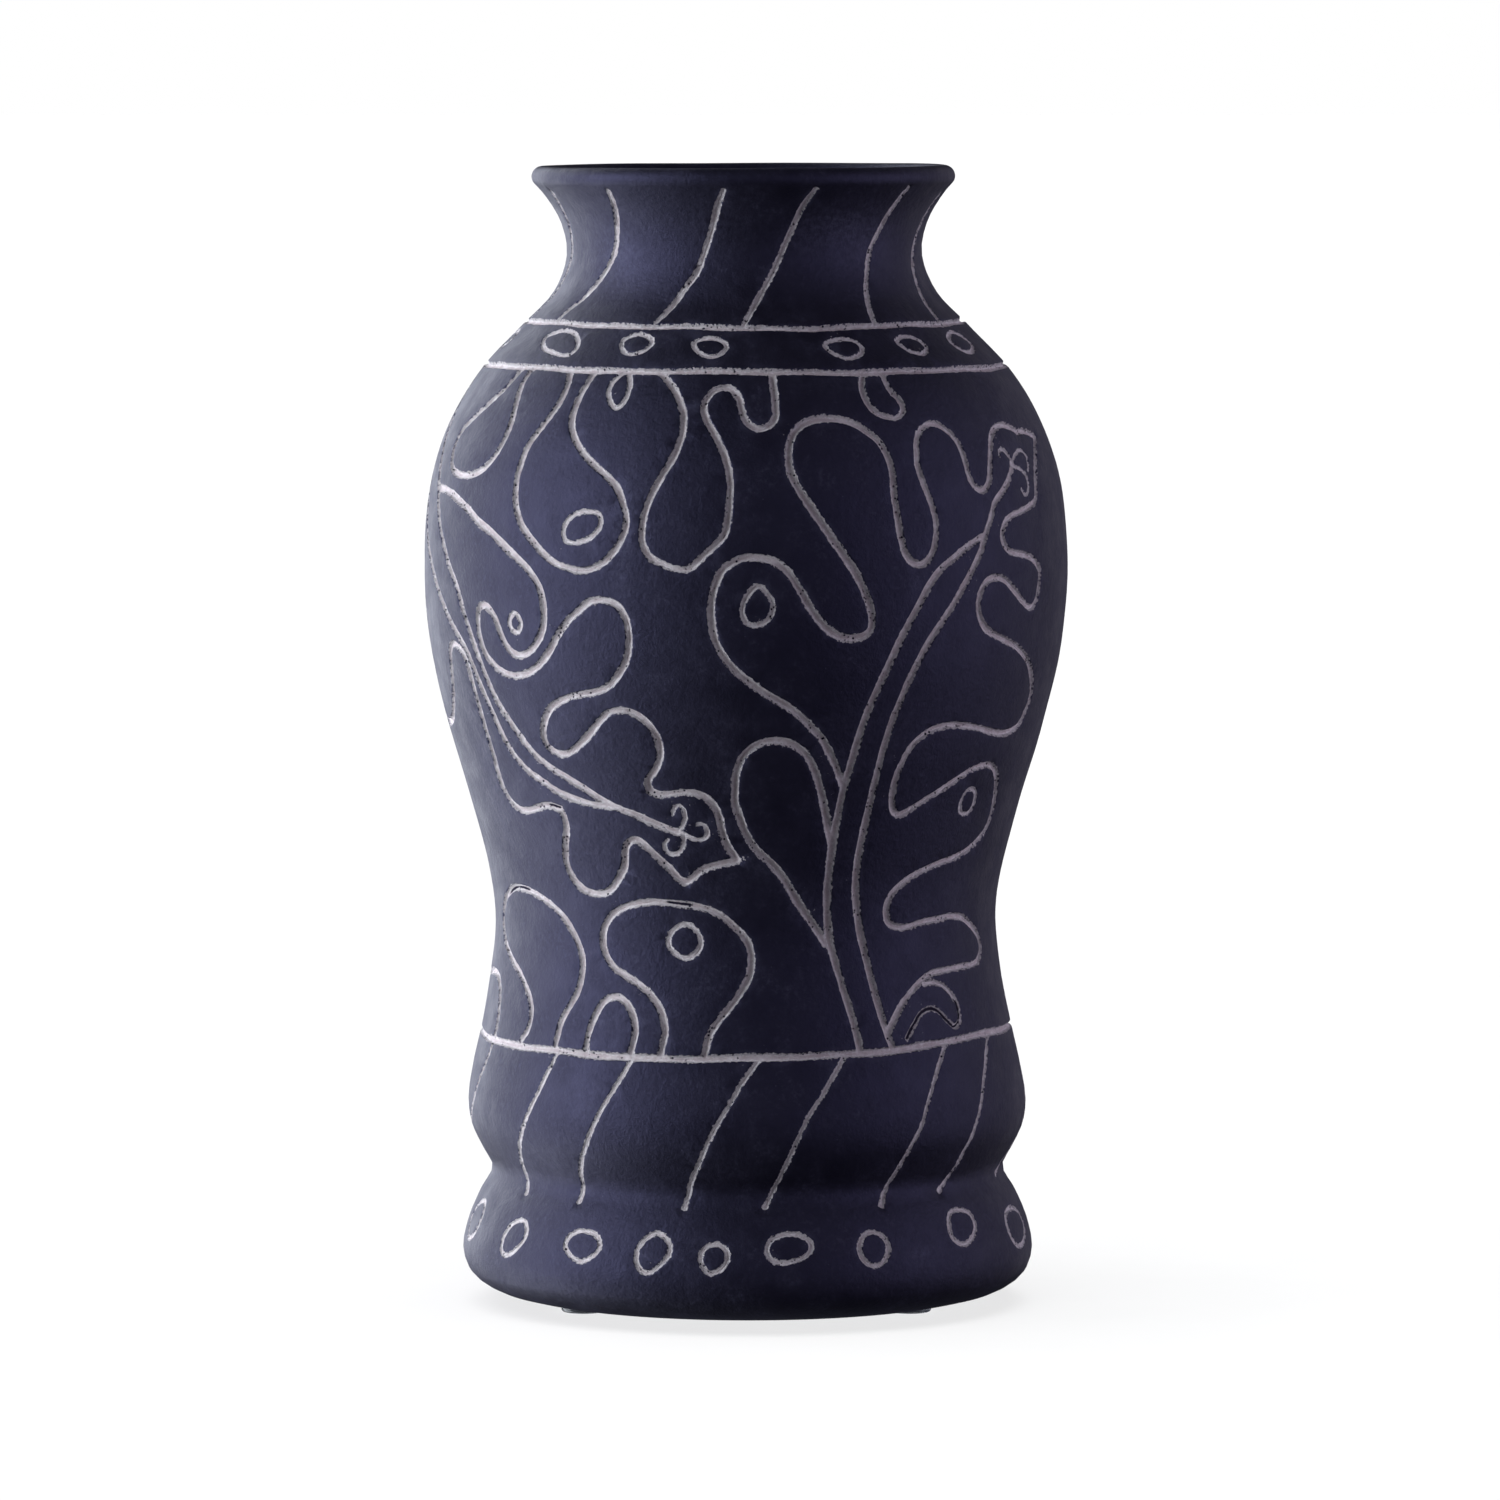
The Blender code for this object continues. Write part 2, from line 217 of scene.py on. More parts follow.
# Loops that stand on the lower ring.
STANDING = (
    ((-56.6, 76), (-54.7, 79.2), (-54.2, 83.3), (-55.3, 86.9), (-57.5, 90.1), (-60.9, 93.7),
     (-64.8, 96.4), (-68.6, 99.1), (-71.9, 102.2), (-73.5, 105.8), (-73.4, 109.7), (-71.7, 112.8),
     (-69, 115.3), (-65.8, 117.2), (-62, 118.1), (-58.1, 117.8), (-54.2, 116.8), (-49.6, 114.7),
     (-45.7, 111.7), (-42.9, 108.1), (-40.6, 104), (-39.2, 99.5), (-39.2, 95), (-40.1, 90.5), (-42.3, 86),
     (-44, 81.9), (-44.9, 74.6)),
    ((-89.5, 75), (-92.5, 81), (-92.6, 87.5), (-89, 91), (-83.5, 92.1), (-79, 92.5), (-75, 91.9),
     (-72.2, 89.6), (-70.5, 85.1), (-69.8, 79.7), (-70, 74.6)),
    ((-36.2, 75), (-35.8, 79.7), (-34.4, 85.1), (-32.4, 88.9), (-29.6, 90.3), (-26.8, 88.7),
     (-24.8, 84.6), (-24.3, 80.6), (-25.1, 75)),
    ((-18.3, 75), (-17.5, 81.5), (-18.3, 86), (-20.6, 90.5), (-23.7, 93.7), (-27.7, 96.4), (-30.8, 98.6),
     (-33, 102.2), (-33.7, 105.8), (-33.1, 109.6), (-31.2, 112.7), (-27.8, 115.2), (-24.5, 116.4),
     (-20.3, 117.1), (-15.2, 116.7), (-11.2, 116.2), (-7.9, 115.2), (-5, 113.3), (-2.7, 110.8),
     (-0.6, 108.3), (0.8, 105.5), (1.3, 102.5), (1.3, 99.6), (0.7, 96.7), (-0.6, 93.3), (-2.4, 90),
     (-4.5, 86.7), (-6.6, 83.3), (-7.9, 80), (-8.8, 75)),
)
STANDING_OVAL = ((-13.3, 111.2), (-10.9, 109.4), (-9.8, 106.3), (-10.9, 103.1), (-13.3, 101.6),
                 (-16, 103), (-17.5, 105.6), (-16.3, 109.3))

# The leaf that stands to the right: stem lines, side lobes, outline and curled tip.
STANDING_LEAF = (
    ((25, 75), (23.8, 84), (22.6, 90), (20.6, 99.5), (19.3, 106), (18.6, 113), (18.3, 121), (18.4, 130),
     (18.9, 139), (19.5, 147), (20.2, 153), (21.1, 160), (22.7, 170), (25.2, 180), (27.4, 188),
     (29.7, 195), (31.6, 200), (33.6, 205.2), (36, 209.5), (39.5, 213), (42.9, 216), (46.4, 218.2)),
    ((32.8, 76), (31.8, 80), (29.9, 90), (28.2, 100), (26.4, 110), (25.5, 115.5), (24.9, 121),
     (24.7, 129), (25.3, 138), (26.2, 150), (27, 160), (28.6, 170), (30.9, 180), (34.3, 190), (39.2, 200),
     (43.8, 210), (46, 215), (47.5, 219.7), (48.8, 223), (50.4, 227.3), (52.5, 229.6), (54.6, 232),
     (56.6, 235), (58.2, 237.7)),
    ((19.3, 150.5), (17.9, 154.7), (16.3, 158.8), (14.7, 162.7), (12.4, 166.5), (9.9, 170.1), (7, 173.2),
     (4.1, 175.8), (1.2, 178.8), (-1.3, 181.9), (-3.4, 185.5), (-5, 189.6), (-5.8, 194.2), (-6.1, 198.8),
     (-5.9, 203), (-5.2, 207), (-4.1, 210.3), (-2, 212.7), (0.2, 213.9), (2.8, 213.7), (5.4, 212.3),
     (7.3, 209.8), (9, 205.8), (10.7, 201.3), (12.4, 197.2), (14.7, 193.6), (17.2, 191.6), (20, 191.5),
     (22, 193), (22.5, 195.8), (22.1, 199.7), (20.9, 204.4), (19.3, 209.3), (16.8, 215.2), (13.8, 222),
     (11, 228.7), (9, 233.7), (8, 237.8), (7.9, 242.3), (8.7, 246.8), (10.5, 249.6), (13, 251.1),
     (16.9, 251.5), (20.8, 250.3), (23.5, 247.9), (25.7, 244.9), (27, 240.5), (27.4, 236), (27.2, 230.6),
     (27.6, 224.2), (28.2, 217.9), (29, 213.9), (30.7, 211.5), (32.7, 211.6), (34.4, 214.3),
     (35.3, 218.8), (35.4, 224.2), (34.4, 229.7), (33.3, 234.6), (32.9, 238.7), (33.2, 242.3),
     (34.1, 245.9), (36.1, 248.6), (38.2, 249.6), (40, 249.2), (42.3, 246.8), (43.7, 243.7),
     (44.2, 239.6), (44.6, 234.2), (46, 231.5), (47.9, 231), (49.6, 233.3), (50.8, 237.4), (52.2, 241.9),
     (53.9, 245.5), (56.2, 247.6), (59.2, 248.3), (62.1, 247.4), (64.2, 246)),
    ((64.2, 246), (66.4, 246.2), (69.5, 245.6), (72.4, 244.2)),
    ((72.4, 244.2), (69.8, 240.8), (67.7, 237.2), (66, 233.2), (65.2, 230.1), (64.3, 227.2), (62, 225.7),
     (58, 224.4), (54.5, 223.1), (52.6, 221.1), (51.7, 218.4), (52.2, 215.6), (54, 213.5), (57.2, 212.6),
     (60.8, 211.3), (63.5, 208.9), (64.3, 206.5), (63.9, 203.1), (63.3, 199.7), (62, 197.6),
     (60.4, 197.5), (57.8, 199.6), (54.9, 202.9), (52.1, 205.7), (49.3, 206.6), (47, 205.6),
     (45.7, 203.1), (45.1, 199.5), (45.7, 195.8), (47.6, 192.5), (50.4, 190.4), (53.8, 188.6),
     (57.7, 186.4), (61.9, 182.7), (64.8, 178.6), (66.4, 175), (67.1, 171.4), (66.2, 167.6),
     (64.8, 164.3), (62.6, 162.8), (59.4, 162.1), (54.7, 162.9), (50.2, 164.3), (45.7, 165.4),
     (41.7, 165.8), (38.4, 165.2), (35.5, 163.4), (33.3, 160.7), (31.9, 157), (31.1, 153.4),
     (30.7, 149.8), (30.9, 144.8), (31.7, 142), (33.3, 141), (35.5, 142.2), (38.9, 144.7), (42.9, 147.4),
     (46.8, 150.1), (50.2, 152.3), (53.6, 153.3), (56.6, 153.4), (59.2, 151.9), (61, 149.2),
     (62.3, 145.6), (63.1, 141.9), (63.1, 137.9), (62.1, 134.4), (59.4, 131.4), (56.4, 129.3),
     (52.5, 127.6), (47.9, 126.5), (42.9, 124.9), (39.5, 123.2), (36.7, 121.1), (34.4, 118.5),
     (33.4, 115.8), (33.4, 113.1), (34.1, 110.5), (36.1, 109.2), (38.9, 108.8), (43.4, 109.8),
     (49.1, 110.3), (54.1, 110.7), (58.7, 110), (62.6, 107.8), (65.9, 105.2), (67.7, 102.6), (67.8, 99.9),
     (66.4, 97.5), (63.9, 96.4), (59.2, 96.3), (53.6, 96.1), (49.1, 95.8), (45.7, 95.2), (42.9, 93.7),
     (40.6, 91.9), (38.4, 89.8), (36.1, 87), (33.8, 83.4), (31.9, 80.2)),
    ((18.3, 105.6), (16.9, 108.1), (14.1, 113.1), (11.3, 118), (8.5, 123.7), (5.6, 128.2), (2.8, 131.6),
     (1.3, 134.1), (-0.3, 138), (-1.3, 141.8), (-2.1, 145.2), (-2.1, 149), (-1.9, 153.2), (-1.2, 156.7),
     (0.2, 159.9), (2.3, 162), (4.6, 163), (6.8, 162.9), (9, 161.8), (10.9, 159.9), (12.4, 157.2),
     (13.7, 153.6), (14.9, 149.2), (16.1, 143.8), (17.2, 138.3), (18.3, 133.5)),
)
TIP_CURLS = (
    ((58.1, 237.7), (59.1, 239.1), (60.6, 240.4), (62.2, 241), (63.6, 240.6), (64.4, 239), (64.1, 237),
     (63.4, 235.2)),
    ((58.1, 238.2), (57.2, 240.3), (56, 241.7), (54.8, 241.3), (54.5, 240)),
    ((58.5, 236.9), (60.7, 235.9), (62.1, 234), (62.3, 231.4), (61.4, 229.2), (60.2, 229), (59.4, 230.5)),
)
TIP_OVALS = (
    ((2, 206.3), (4, 203.4), (4.7, 200), (4, 197), (2, 195.2), (-0.1, 196.1), (-0.7, 199.5), (0.2, 203.5)),
    ((51.6, 147.2), (54.2, 145.8), (54.6, 142.6), (53.4, 140), (50.6, 140.4), (49.8, 143.4)),
)
SNAIL = ((36.9, 78.4), (38.2, 80.5), (39.7, 82.5), (41.3, 84.6), (43.1, 85.6), (45.1, 85.8), (47.2, 84.8),
         (48.7, 82.9), (50.3, 81.3), (51.8, 80.2), (53.5, 81.3), (54, 83.7), (53.6, 86.6), (52.3, 89.1),
         (50.5, 91.1), (48.2, 92.5), (45.9, 93), (43.6, 92.6))

# Widths of the tool's cut in mm.
RING_WIDTH = 2.2
OUTLINE_WIDTH = 2.25
LOOP_WIDTH = 2.1
NECK_WIDTH = 1.9
SNAIL_WIDTH = 1.9
FOOT_LINE_WIDTH = 1.5
SMALL_WIDTH = 1.6
CURL_WIDTH = 1.4

CUT_DEPTH_PER_WIDTH = 0.47
END_TAPER_MM = 3.0         # how far from its end an open cut takes its end width
ROUNDING_MM = 0.9          # wear on the corners of ovals
ROW_STEP_MM = 1.05         # mesh points along a cut
SMALL_ROW_STEP_MM = 0.75   # mesh points along small ovals and curls
OUTER_ROW_MM = 0.32        # distance of the row of mesh points just outside a cut
SEGMENTS = 192             # mesh points round the lip, the inside and the underside
SEAM_MARGIN = 0.12         # radians of wall repeated beyond both ends of the turn
REACH_MM = 3.2             # beyond this distance a cut doesn't count
BELLY_SKIN_MM = 0.24       # how far inside the CAD wall the widest part is kept
LIP_TILT_MM = 0.20         # half the lip's drop from right to left
HEIGHT_KEEP = 0.9995       # share of the CAD clay's height
BACK_DRIFT_DEG = 1.2       # how far the back's carving strays from the front's
BACK_DRIFT_MM = 1.0
RINGS_MM = (76, 264)       # about where the lower ring and the band's ring run
RING_WAVER_MM = 0.18       # how far a ring wavers up and down


# --- curves on the wall ---

def catmull_rom(points, closed=False, substeps=10):
    """A centripetal Catmull-Rom curve through the points, as a fine polyline."""
    p = np.array(points, float)
    if closed:
        p = np.vstack([p[-1:], p, p[:2]])
    else:
        p = np.vstack([2 * p[:1] - p[1:2], p, 2 * p[-1:] - p[-2:-1]])
    fine = [p[1:2]]
    for a, b, c, d in zip(p, p[1:], p[2:], p[3:]):
        gaps = [max(np.linalg.norm(y - x), 1e-9) ** 0.5 for x, y in ((a, b), (b, c), (c, d))]
        t1 = gaps[0]
        t2 = t1 + gaps[1]
        t3 = t2 + gaps[2]
        t = np.linspace(t1, t2, substeps + 1)[1:, None]
        ab = (t1 - t) / t1 * a + t / t1 * b
        bc = (t2 - t) / (t2 - t1) * b + (t - t1) / (t2 - t1) * c
        cd = (t3 - t) / (t3 - t2) * c + (t - t2) / (t3 - t2) * d
        abc = (t2 - t) / t2 * ab + t / t2 * bc
        bcd = (t3 - t) / (t3 - t1) * bc + (t - t1) / (t3 - t1) * cd
        fine.append((t2 - t) / (t2 - t1) * abc + (t - t1) / (t2 - t1) * bcd)
    return np.vstack(fine)


def rounded(loop):
    """A closed line in (u, v) with its corners worn round."""
    loop = loop[:-1]
    reach = ROUNDING_MM / (steps_of(loop).mean() * radius_of(loop[:, 1].mean()))
    span = int(3 * reach)
    weights = np.exp(-0.5 * (np.arange(-span, span + 1) / reach) ** 2)
    weights /= weights.sum()
    smooth = sum(w * np.roll(loop, k, axis=0) for k, w in zip(range(-span, span + 1), weights))
    return np.vstack([smooth, smooth[:1]])


def steps_of(line):
    return np.linalg.norm(np.diff(line, axis=0), axis=1)


WALL = catmull_rom(OUTSIDE_MM, substeps=24)
WALL_R, WALL_Z = WALL[:, 0], WALL[:, 1]
_wall_steps = steps_of(WALL)
# Height measured so that a small square on the wall stays a square: arc length over radius.
WALL_V = np.concatenate([[0], np.cumsum(_wall_steps / ((WALL_R[1:] + WALL_R[:-1]) / 2))])
_slope = np.gradient(WALL, axis=0)
_slope /= np.linalg.norm(_slope, axis=1)[:, None]
WALL_NR, WALL_NZ = _slope[:, 1], -_slope[:, 0]
# The carved mesh lies between these heights; the underside and the lip join on at its ends.
LOW_EDGE_MM, HIGH_EDGE_MM = 7.5, 315.0


def v_of(height_mm):
    """Wall coordinate of a height on the clay."""
    return np.interp(height_mm, WALL_Z, WALL_V)


def radius_of(v):
    return np.interp(v, WALL_V, WALL_R)


def wall_point(u, v, out_mm):
    """Points of the wall in mm: u round from the front, v up, out_mm along the outward normal."""
    r = radius_of(v) + out_mm * np.interp(v, WALL_V, WALL_NR)
    z = np.interp(v, WALL_V, WALL_Z) + out_mm * np.interp(v, WALL_V, WALL_NZ)
    return np.stack([r * np.sin(u), -r * np.cos(u), z], axis=-1)


def turn_from(deg, u):
    """Angle from a direction in degrees to each u, in radians, the short way round."""
    return np.mod(u - math.radians(deg) + math.pi, 2 * math.pi) - math.pi


def gentle(x, seed, size):
    """Smooth noise of one number, between about -1 and 1."""
    at = np.asarray(x) / size + seed * 17.31
    return (np.sin(at * 2.1 + seed) + np.sin(at * 3.7 + 2.0 * seed) + np.sin(at * 5.3 + 0.7)) / 3


# --- the carved strokes, front and back ---

# Where the hand was light or heavy: (degrees, mm, reach round and up in mm, share of the usual width).
HAND_WEIGHT = (
    (36, 236, 16, 26, 0.80), (60, 236, 14, 22, 0.84), (55, 195, 16, 22, 0.86),
    (45, 145, 22, 24, 0.84), (48, 98, 26, 20, 0.84), (30, 162, 8, 14, 0.88),
    (38, 290, 30, 18, 0.88), (-22, 195, 22, 40, 0.90), (16, 222, 10, 26, 1.12),
    (14, 120, 16, 22, 1.10), (30, 105, 7, 22, 1.06), (-50, 224, 14, 14, 1.10),
    (-85, 200, 14, 50, 1.10), (40, 264, 40, 3, 0.92), (36, 60, 40, 14, 0.85),
)


def hand_weight(uv):
    """How wide the tool cut at each point, as a share of its usual width."""
    height = np.interp(uv[:, 1], WALL_V, WALL_Z)
    r = radius_of(uv[:, 1])
    weight = np.ones(len(uv))
    for turn in (0, 180):
        for deg, mm, round_mm, up_mm, share in HAND_WEIGHT:
            du = turn_from(deg + turn, uv[:, 0])
            d2 = (du * r / round_mm) ** 2 + ((height - mm) / up_mm) ** 2
            weight *= 1 + (share - 1) * np.exp(-d2)
    return weight


STROKES = []      # each: points in (u, v), half widths in mm, closed or open


def carve(points, width, closed=False, step=ROW_STEP_MM, thin_ends=(1.0, 1.0)):
    """Cuts the line on the front, and again on the back with a hand's small differences."""
    for half in (0, 1):
        seed = len(STROKES) + 1
        deg = np.array([p[0] for p in points], float)
        mm = np.array([p[1] for p in points], float)
        if half:
            # The back's lines stray only between the rings, so that they still meet them.
            drift = np.clip((mm - 80) / 30, 0, 1) * np.clip((262 - mm) / 20, 0, 1)
            between_rings = np.sin(math.pi * np.clip((mm - RINGS_MM[0]) / (RINGS_MM[1] - RINGS_MM[0]), 0, 1))
            deg = deg + 180 + BACK_DRIFT_DEG * np.sin(mm / 31 + 0.8) * between_rings
            mm = mm + BACK_DRIFT_MM * drift * np.sin(np.radians(deg) * 2.5)
        line = catmull_rom(np.stack([np.radians(deg), v_of(mm)], axis=1), closed)
        if closed:
            line = rounded(line)
        mid_r = radius_of((line[1:, 1] + line[:-1, 1]) / 2)
        along = np.concatenate([[0], np.cumsum(steps_of(line) * mid_r)])
        count = max(4, round(along[-1] / step))
        at = np.linspace(0, along[-1], count + 1)
        if closed:
            at = at[:-1]
        uv = np.stack([np.interp(at, along, line[:, 0]), np.interp(at, along, line[:, 1])], axis=1)
        half_width = width / 2 * (1 + 0.10 * gentle(at, seed, 9.0)) * hand_weight(uv)
        if not closed:
            start = np.clip(at / END_TAPER_MM, 0, 1)
            end = np.clip((along[-1] - at) / END_TAPER_MM, 0, 1)
            half_width = half_width * (thin_ends[0] + (1 - thin_ends[0]) * start)
            half_width = half_width * (thin_ends[1] + (1 - thin_ends[1]) * end)
        STROKES.append((uv, half_width, closed))


def carve_ring(points, width):
    """Cuts a line right round the pot."""
    deg = np.array([p[0] for p in points], float)
    mm = np.array([p[1] for p in points], float)
    order = np.argsort(deg)
    deg, mm = deg[order], mm[order]
    deg = np.concatenate([deg - 360, deg, deg + 360])
    mm = np.tile(mm, 3)
    line = catmull_rom(np.stack([deg, mm], axis=1))
    r = radius_of(v_of(mm.mean()))
    count = round(2 * math.pi * r / ROW_STEP_MM)
    u = np.arange(count) * 2 * math.pi / count
    height = np.interp(np.degrees(u), line[:, 0], line[:, 1])
    seed = len(STROKES) + 1
    height = height + RING_WAVER_MM * (np.sin(7 * u + seed) + 0.6 * np.sin(17 * u + 2 * seed))
    half_width = width / 2 * (1 + 0.07 * np.sin(11 * u + seed) + 0.05 * np.sin(29 * u))
    STROKES.append((np.stack([u, v_of(height)], axis=1), half_width, True))


for ring in (LOW_RING, BAND_RING, NECK_RING):
    carve_ring(ring, RING_WIDTH)
for line in HANGING_LEAF + STANDING_LEAF:
    carve(line, OUTLINE_WIDTH)
for line in HANGING + STANDING:
    carve(line, LOOP_WIDTH)
carve(TEARDROP, SMALL_WIDTH)
carve(SNAIL, SNAIL_WIDTH, step=SMALL_ROW_STEP_MM)
for line in NECK_SLANTS:
    carve(line, NECK_WIDTH, thin_ends=(0.85, 0.85))
for line in FOOT_SLANTS:
    carve(line, FOOT_LINE_WIDTH, thin_ends=(1.0, 1.2))
for line in LEAF_CURLS + TIP_CURLS:
    carve(line, CURL_WIDTH, step=SMALL_ROW_STEP_MM, thin_ends=(1.0, 0.8))
for line in BAND_OVALS + FOOT_OVALS + TIP_OVALS + (LEAF_OVAL, HANGING_OVAL, STANDING_OVAL):
    carve(line, SMALL_WIDTH, closed=True, step=SMALL_ROW_STEP_MM)

# Places where the tool left slip in the cut: degrees, mm, reach in mm.
SLIP_LEFT_IN_CUT = (
    (38, 80, 4), (41, 84.5, 5), (45, 85.8, 5), (49, 82.5, 5), (52, 80.3, 3), (53.9, 84.5, 4),
    (-16, 117, 2.5), (-13.5, 116.9, 2.5), (-66, 117.8, 5), (-60, 118.3, 4), (-72, 113, 3),
    (-43, 143, 3), (-39, 142, 2),
)
# Pale dust rubbed into the slip: degrees, mm, reach round, reach up (mm), strength.
HAZE_SPOTS = (
    (32, 304, 16, 6, 0.9), (18, 300, 10, 5, 0.5), (-8, 305, 14, 8, 0.35), (-45, 296, 12, 12, 0.5),
    (-22, 220, 3, 22, 0.7), (12, 117, 5, 5, 0.6), (3, 128, 5, 6, 0.5), (31, 209, 4, 7, 0.6),
    (37, 18, 6, 2.5, 0.8), (8, 12.5, 2.5, 2, 0.8), (-50, 40, 14, 6, 0.4), (-30, 84, 6, 8, 0.3),
    (-62, 150, 8, 20, 0.4), (60, 240, 8, 8, 0.4), (-12, 190, 12, 4, 0.25), (40, 300, 12, 10, 0.5),
    (-60, 262, 12, 5, 0.4), (20, 262, 14, 3, 0.35), (55, 120, 9, 10, 0.3), (-35, 60, 10, 9, 0.3),
)


# --- point set of the carved wall ---

def all_turns(uv):
    """The points with u inside one turn, and the same points again just outside both ends."""
    u = np.mod(uv[:, 0], 2 * math.pi)
    base = np.stack([u, uv[:, 1]], axis=1)
    index = np.arange(len(base))
    early, late = u < SEAM_MARGIN, u > 2 * math.pi - SEAM_MARGIN
    shift = np.array([2 * math.pi, 0.0])
    points = np.vstack([base, base[early] + shift, base[late] - shift])
    return points, np.concatenate([index, index[early], index[late]])


SAMPLES_PER_STEP = 5       # places along each step of a stroke, for finding the nearest cut


def dense_tree():
    """All strokes sampled finely, with the half width and the slip left in the cut at each sample."""
    uvs, halves = [], []
    for uv, half_width, closed in STROKES:
        ends = np.vstack([uv, uv[:1]]) if closed else uv
        widths = np.concatenate([half_width, half_width[:1]]) if closed else half_width
        if closed and abs(ends[-1, 0] - ends[-2, 0]) > math.pi:
            ends[-1, 0] += 2 * math.pi
        t = np.linspace(0, len(ends) - 1, (len(ends) - 1) * SAMPLES_PER_STEP + 1)
        at = np.arange(len(ends))
        uvs.append(np.stack([np.interp(t, at, ends[:, 0]), np.interp(t, at, ends[:, 1])], axis=1))
        halves.append(np.interp(t, at, widths))
    uv = np.vstack(uvs)
    half = np.concatenate(halves)
    core = np.zeros(len(uv))
    r = radius_of(uv[:, 1])
    height = np.interp(uv[:, 1], WALL_V, WALL_Z)
    for turn in (0, 180):
        for deg, mm, reach in SLIP_LEFT_IN_CUT:
            du = turn_from(deg + turn, uv[:, 0])
            far = np.hypot(du * r, height - mm) / reach
            # Whole to a little under half the reach, and none beyond five quarters of it.
            core = np.maximum(core, np.clip(1.6 - far * 1.3, 0, 1))
    points, index = all_turns(uv)
    tree = kdtree.KDTree(len(points))
    for i, (u, v) in enumerate(points.tolist()):
        tree.insert((u, v, 0.0), i)
    tree.balance()
    return tree, half[index], core[index]


TREE, TREE_HALF, TREE_CORE = dense_tree()
_half_list, _core_list = TREE_HALF.tolist(), TREE_CORE.tolist()


def groove_at(u, v, r):
    """(distance to the nearest cut's edge in mm, negative inside; its half width; slip left in it)."""
    best, half, core = REACH_MM, 1.0, 0.0
    for _, i, d in TREE.find_range((u, v, 0.0), REACH_MM / r):
        e = d * r - _half_list[i]
        if e < best:
            best, half, core = e, _half_list[i], _core_list[i]
    return best, half, core


class PointSet:
    """Points on the wall that keep a least distance from each other."""

    CELL = 0.0075          # side of a search cell, in wall coordinates
    WRAP_ROOM = 0.02       # radians beyond the turn's ends where a point is entered a second time

    def __init__(self):
        self.cells = {}
        self.uv = []
        self.info = []

    def _key(self, u, v):
        return int(u / self.CELL), int(v / self.CELL)

    def near(self, u, v, r, least_mm):
        a, b = self._key(u, v)
        reach = least_mm / r
        for i in (a - 1, a, a + 1):
            for j in (b - 1, b, b + 1):
                for x, y in self.cells.get((i, j), ()):
                    if (x - u) ** 2 + (y - v) ** 2 < reach * reach:
                        return True
        return False

    def add(self, u, v, info):
        self.uv.append((u, v))
        self.info.append(info)
        turn = 2 * math.pi
        for x in (u, u - turn, u + turn):
            if -self.WRAP_ROOM < x < turn + self.WRAP_ROOM:
                self.cells.setdefault(self._key(x, v), []).append((x, v))


POINTS = PointSet()
V_LOW, V_HIGH = float(v_of(LOW_EDGE_MM)), float(v_of(HIGH_EDGE_MM))
for v_edge in (V_LOW, V_HIGH):
    for k in range(SEGMENTS):
        POINTS.add(2 * math.pi * k / SEGMENTS, v_edge, (REACH_MM, 1.0, 0.0))

# Rows of points along each cut: share of its half width, mm beyond that, least gap to others in mm.
ROWS = ((0.0, 0.0, 0.42), (1.0, 0.0, 0.34), (-1.0, 0.0, 0.34), (0.62, 0.0, 0.36), (-0.62, 0.0, 0.36),
        (1.0, OUTER_ROW_MM, 0.28), (-1.0, -OUTER_ROW_MM, 0.28))
EDGE_SLACK_MM = 0.14
END_GAP_MM = 0.34
EDGE_ROOM = 0.012          # of the wall's coordinate, kept free at the wall's lowest and highest rings



def offer(u, v, radius, least_mm, out_mm=None):
    """Adds a point, unless it is at the wall's ends, near another point or, with out_mm, in another cut."""
    if not V_LOW + EDGE_ROOM < v < V_HIGH - EDGE_ROOM:
        return
    u = u % (2 * math.pi)
    info = groove_at(u, v, radius)
    if out_mm is not None and info[0] < out_mm - EDGE_SLACK_MM:
        return
    if not POINTS.near(u, v, radius, least_mm):
        POINTS.add(u, v, info)


def add_row(uv, half_width, closed, share, beyond, least_mm):
    """Points along a stroke, beside its middle by a share of its half width and some mm more."""
    if closed:
        ahead, behind = np.roll(uv, -1, axis=0), np.roll(uv, 1, axis=0)
    else:
        ahead, behind = np.vstack([uv[1:], uv[-1:]]), np.vstack([uv[:1], uv[:-1]])
    tangent = ahead - behind
    tangent[:, 0] = turn_from(0, tangent[:, 0])
    tangent /= np.linalg.norm(tangent, axis=1)[:, None]
    normal = np.stack([-tangent[:, 1], tangent[:, 0]], axis=1)
    r = radius_of(uv[:, 1])
    row = uv + normal * ((share * half_width + beyond) / r)[:, None]
    out_mm = abs(beyond) if abs(share) == 1 else None
    for (u, v), radius in zip(row.tolist(), r.tolist()):
        offer(u, v, radius, least_mm, out_mm)


def add_round_end(end, before, half):
    """Points round the end of an open cut, on its edge and just outside it."""
    away = math.atan2(end[1] - before[1], end[0] - before[0])
    radius = float(radius_of(end[1]))
    for out_mm in (0.0, OUTER_ROW_MM):
        for turn in (-60, -30, 0, 30, 60):
            a = away + math.radians(turn)
            u = end[0] + math.cos(a) * (half + out_mm) / radius
            v = end[1] + math.sin(a) * (half + out_mm) / radius
            offer(u, v, radius, END_GAP_MM, out_mm)


for share, beyond, least in ROWS:
    for stroke in STROKES:
        add_row(*stroke, share, beyond, least)
    if share == 0.0:
        # The round ends come before the edges, so that they keep their places.
        for uv, half_width, closed in STROKES:
            if not closed:
                add_round_end(uv[0], uv[1], half_width[0])
                add_round_end(uv[-1], uv[-2], half_width[-1])

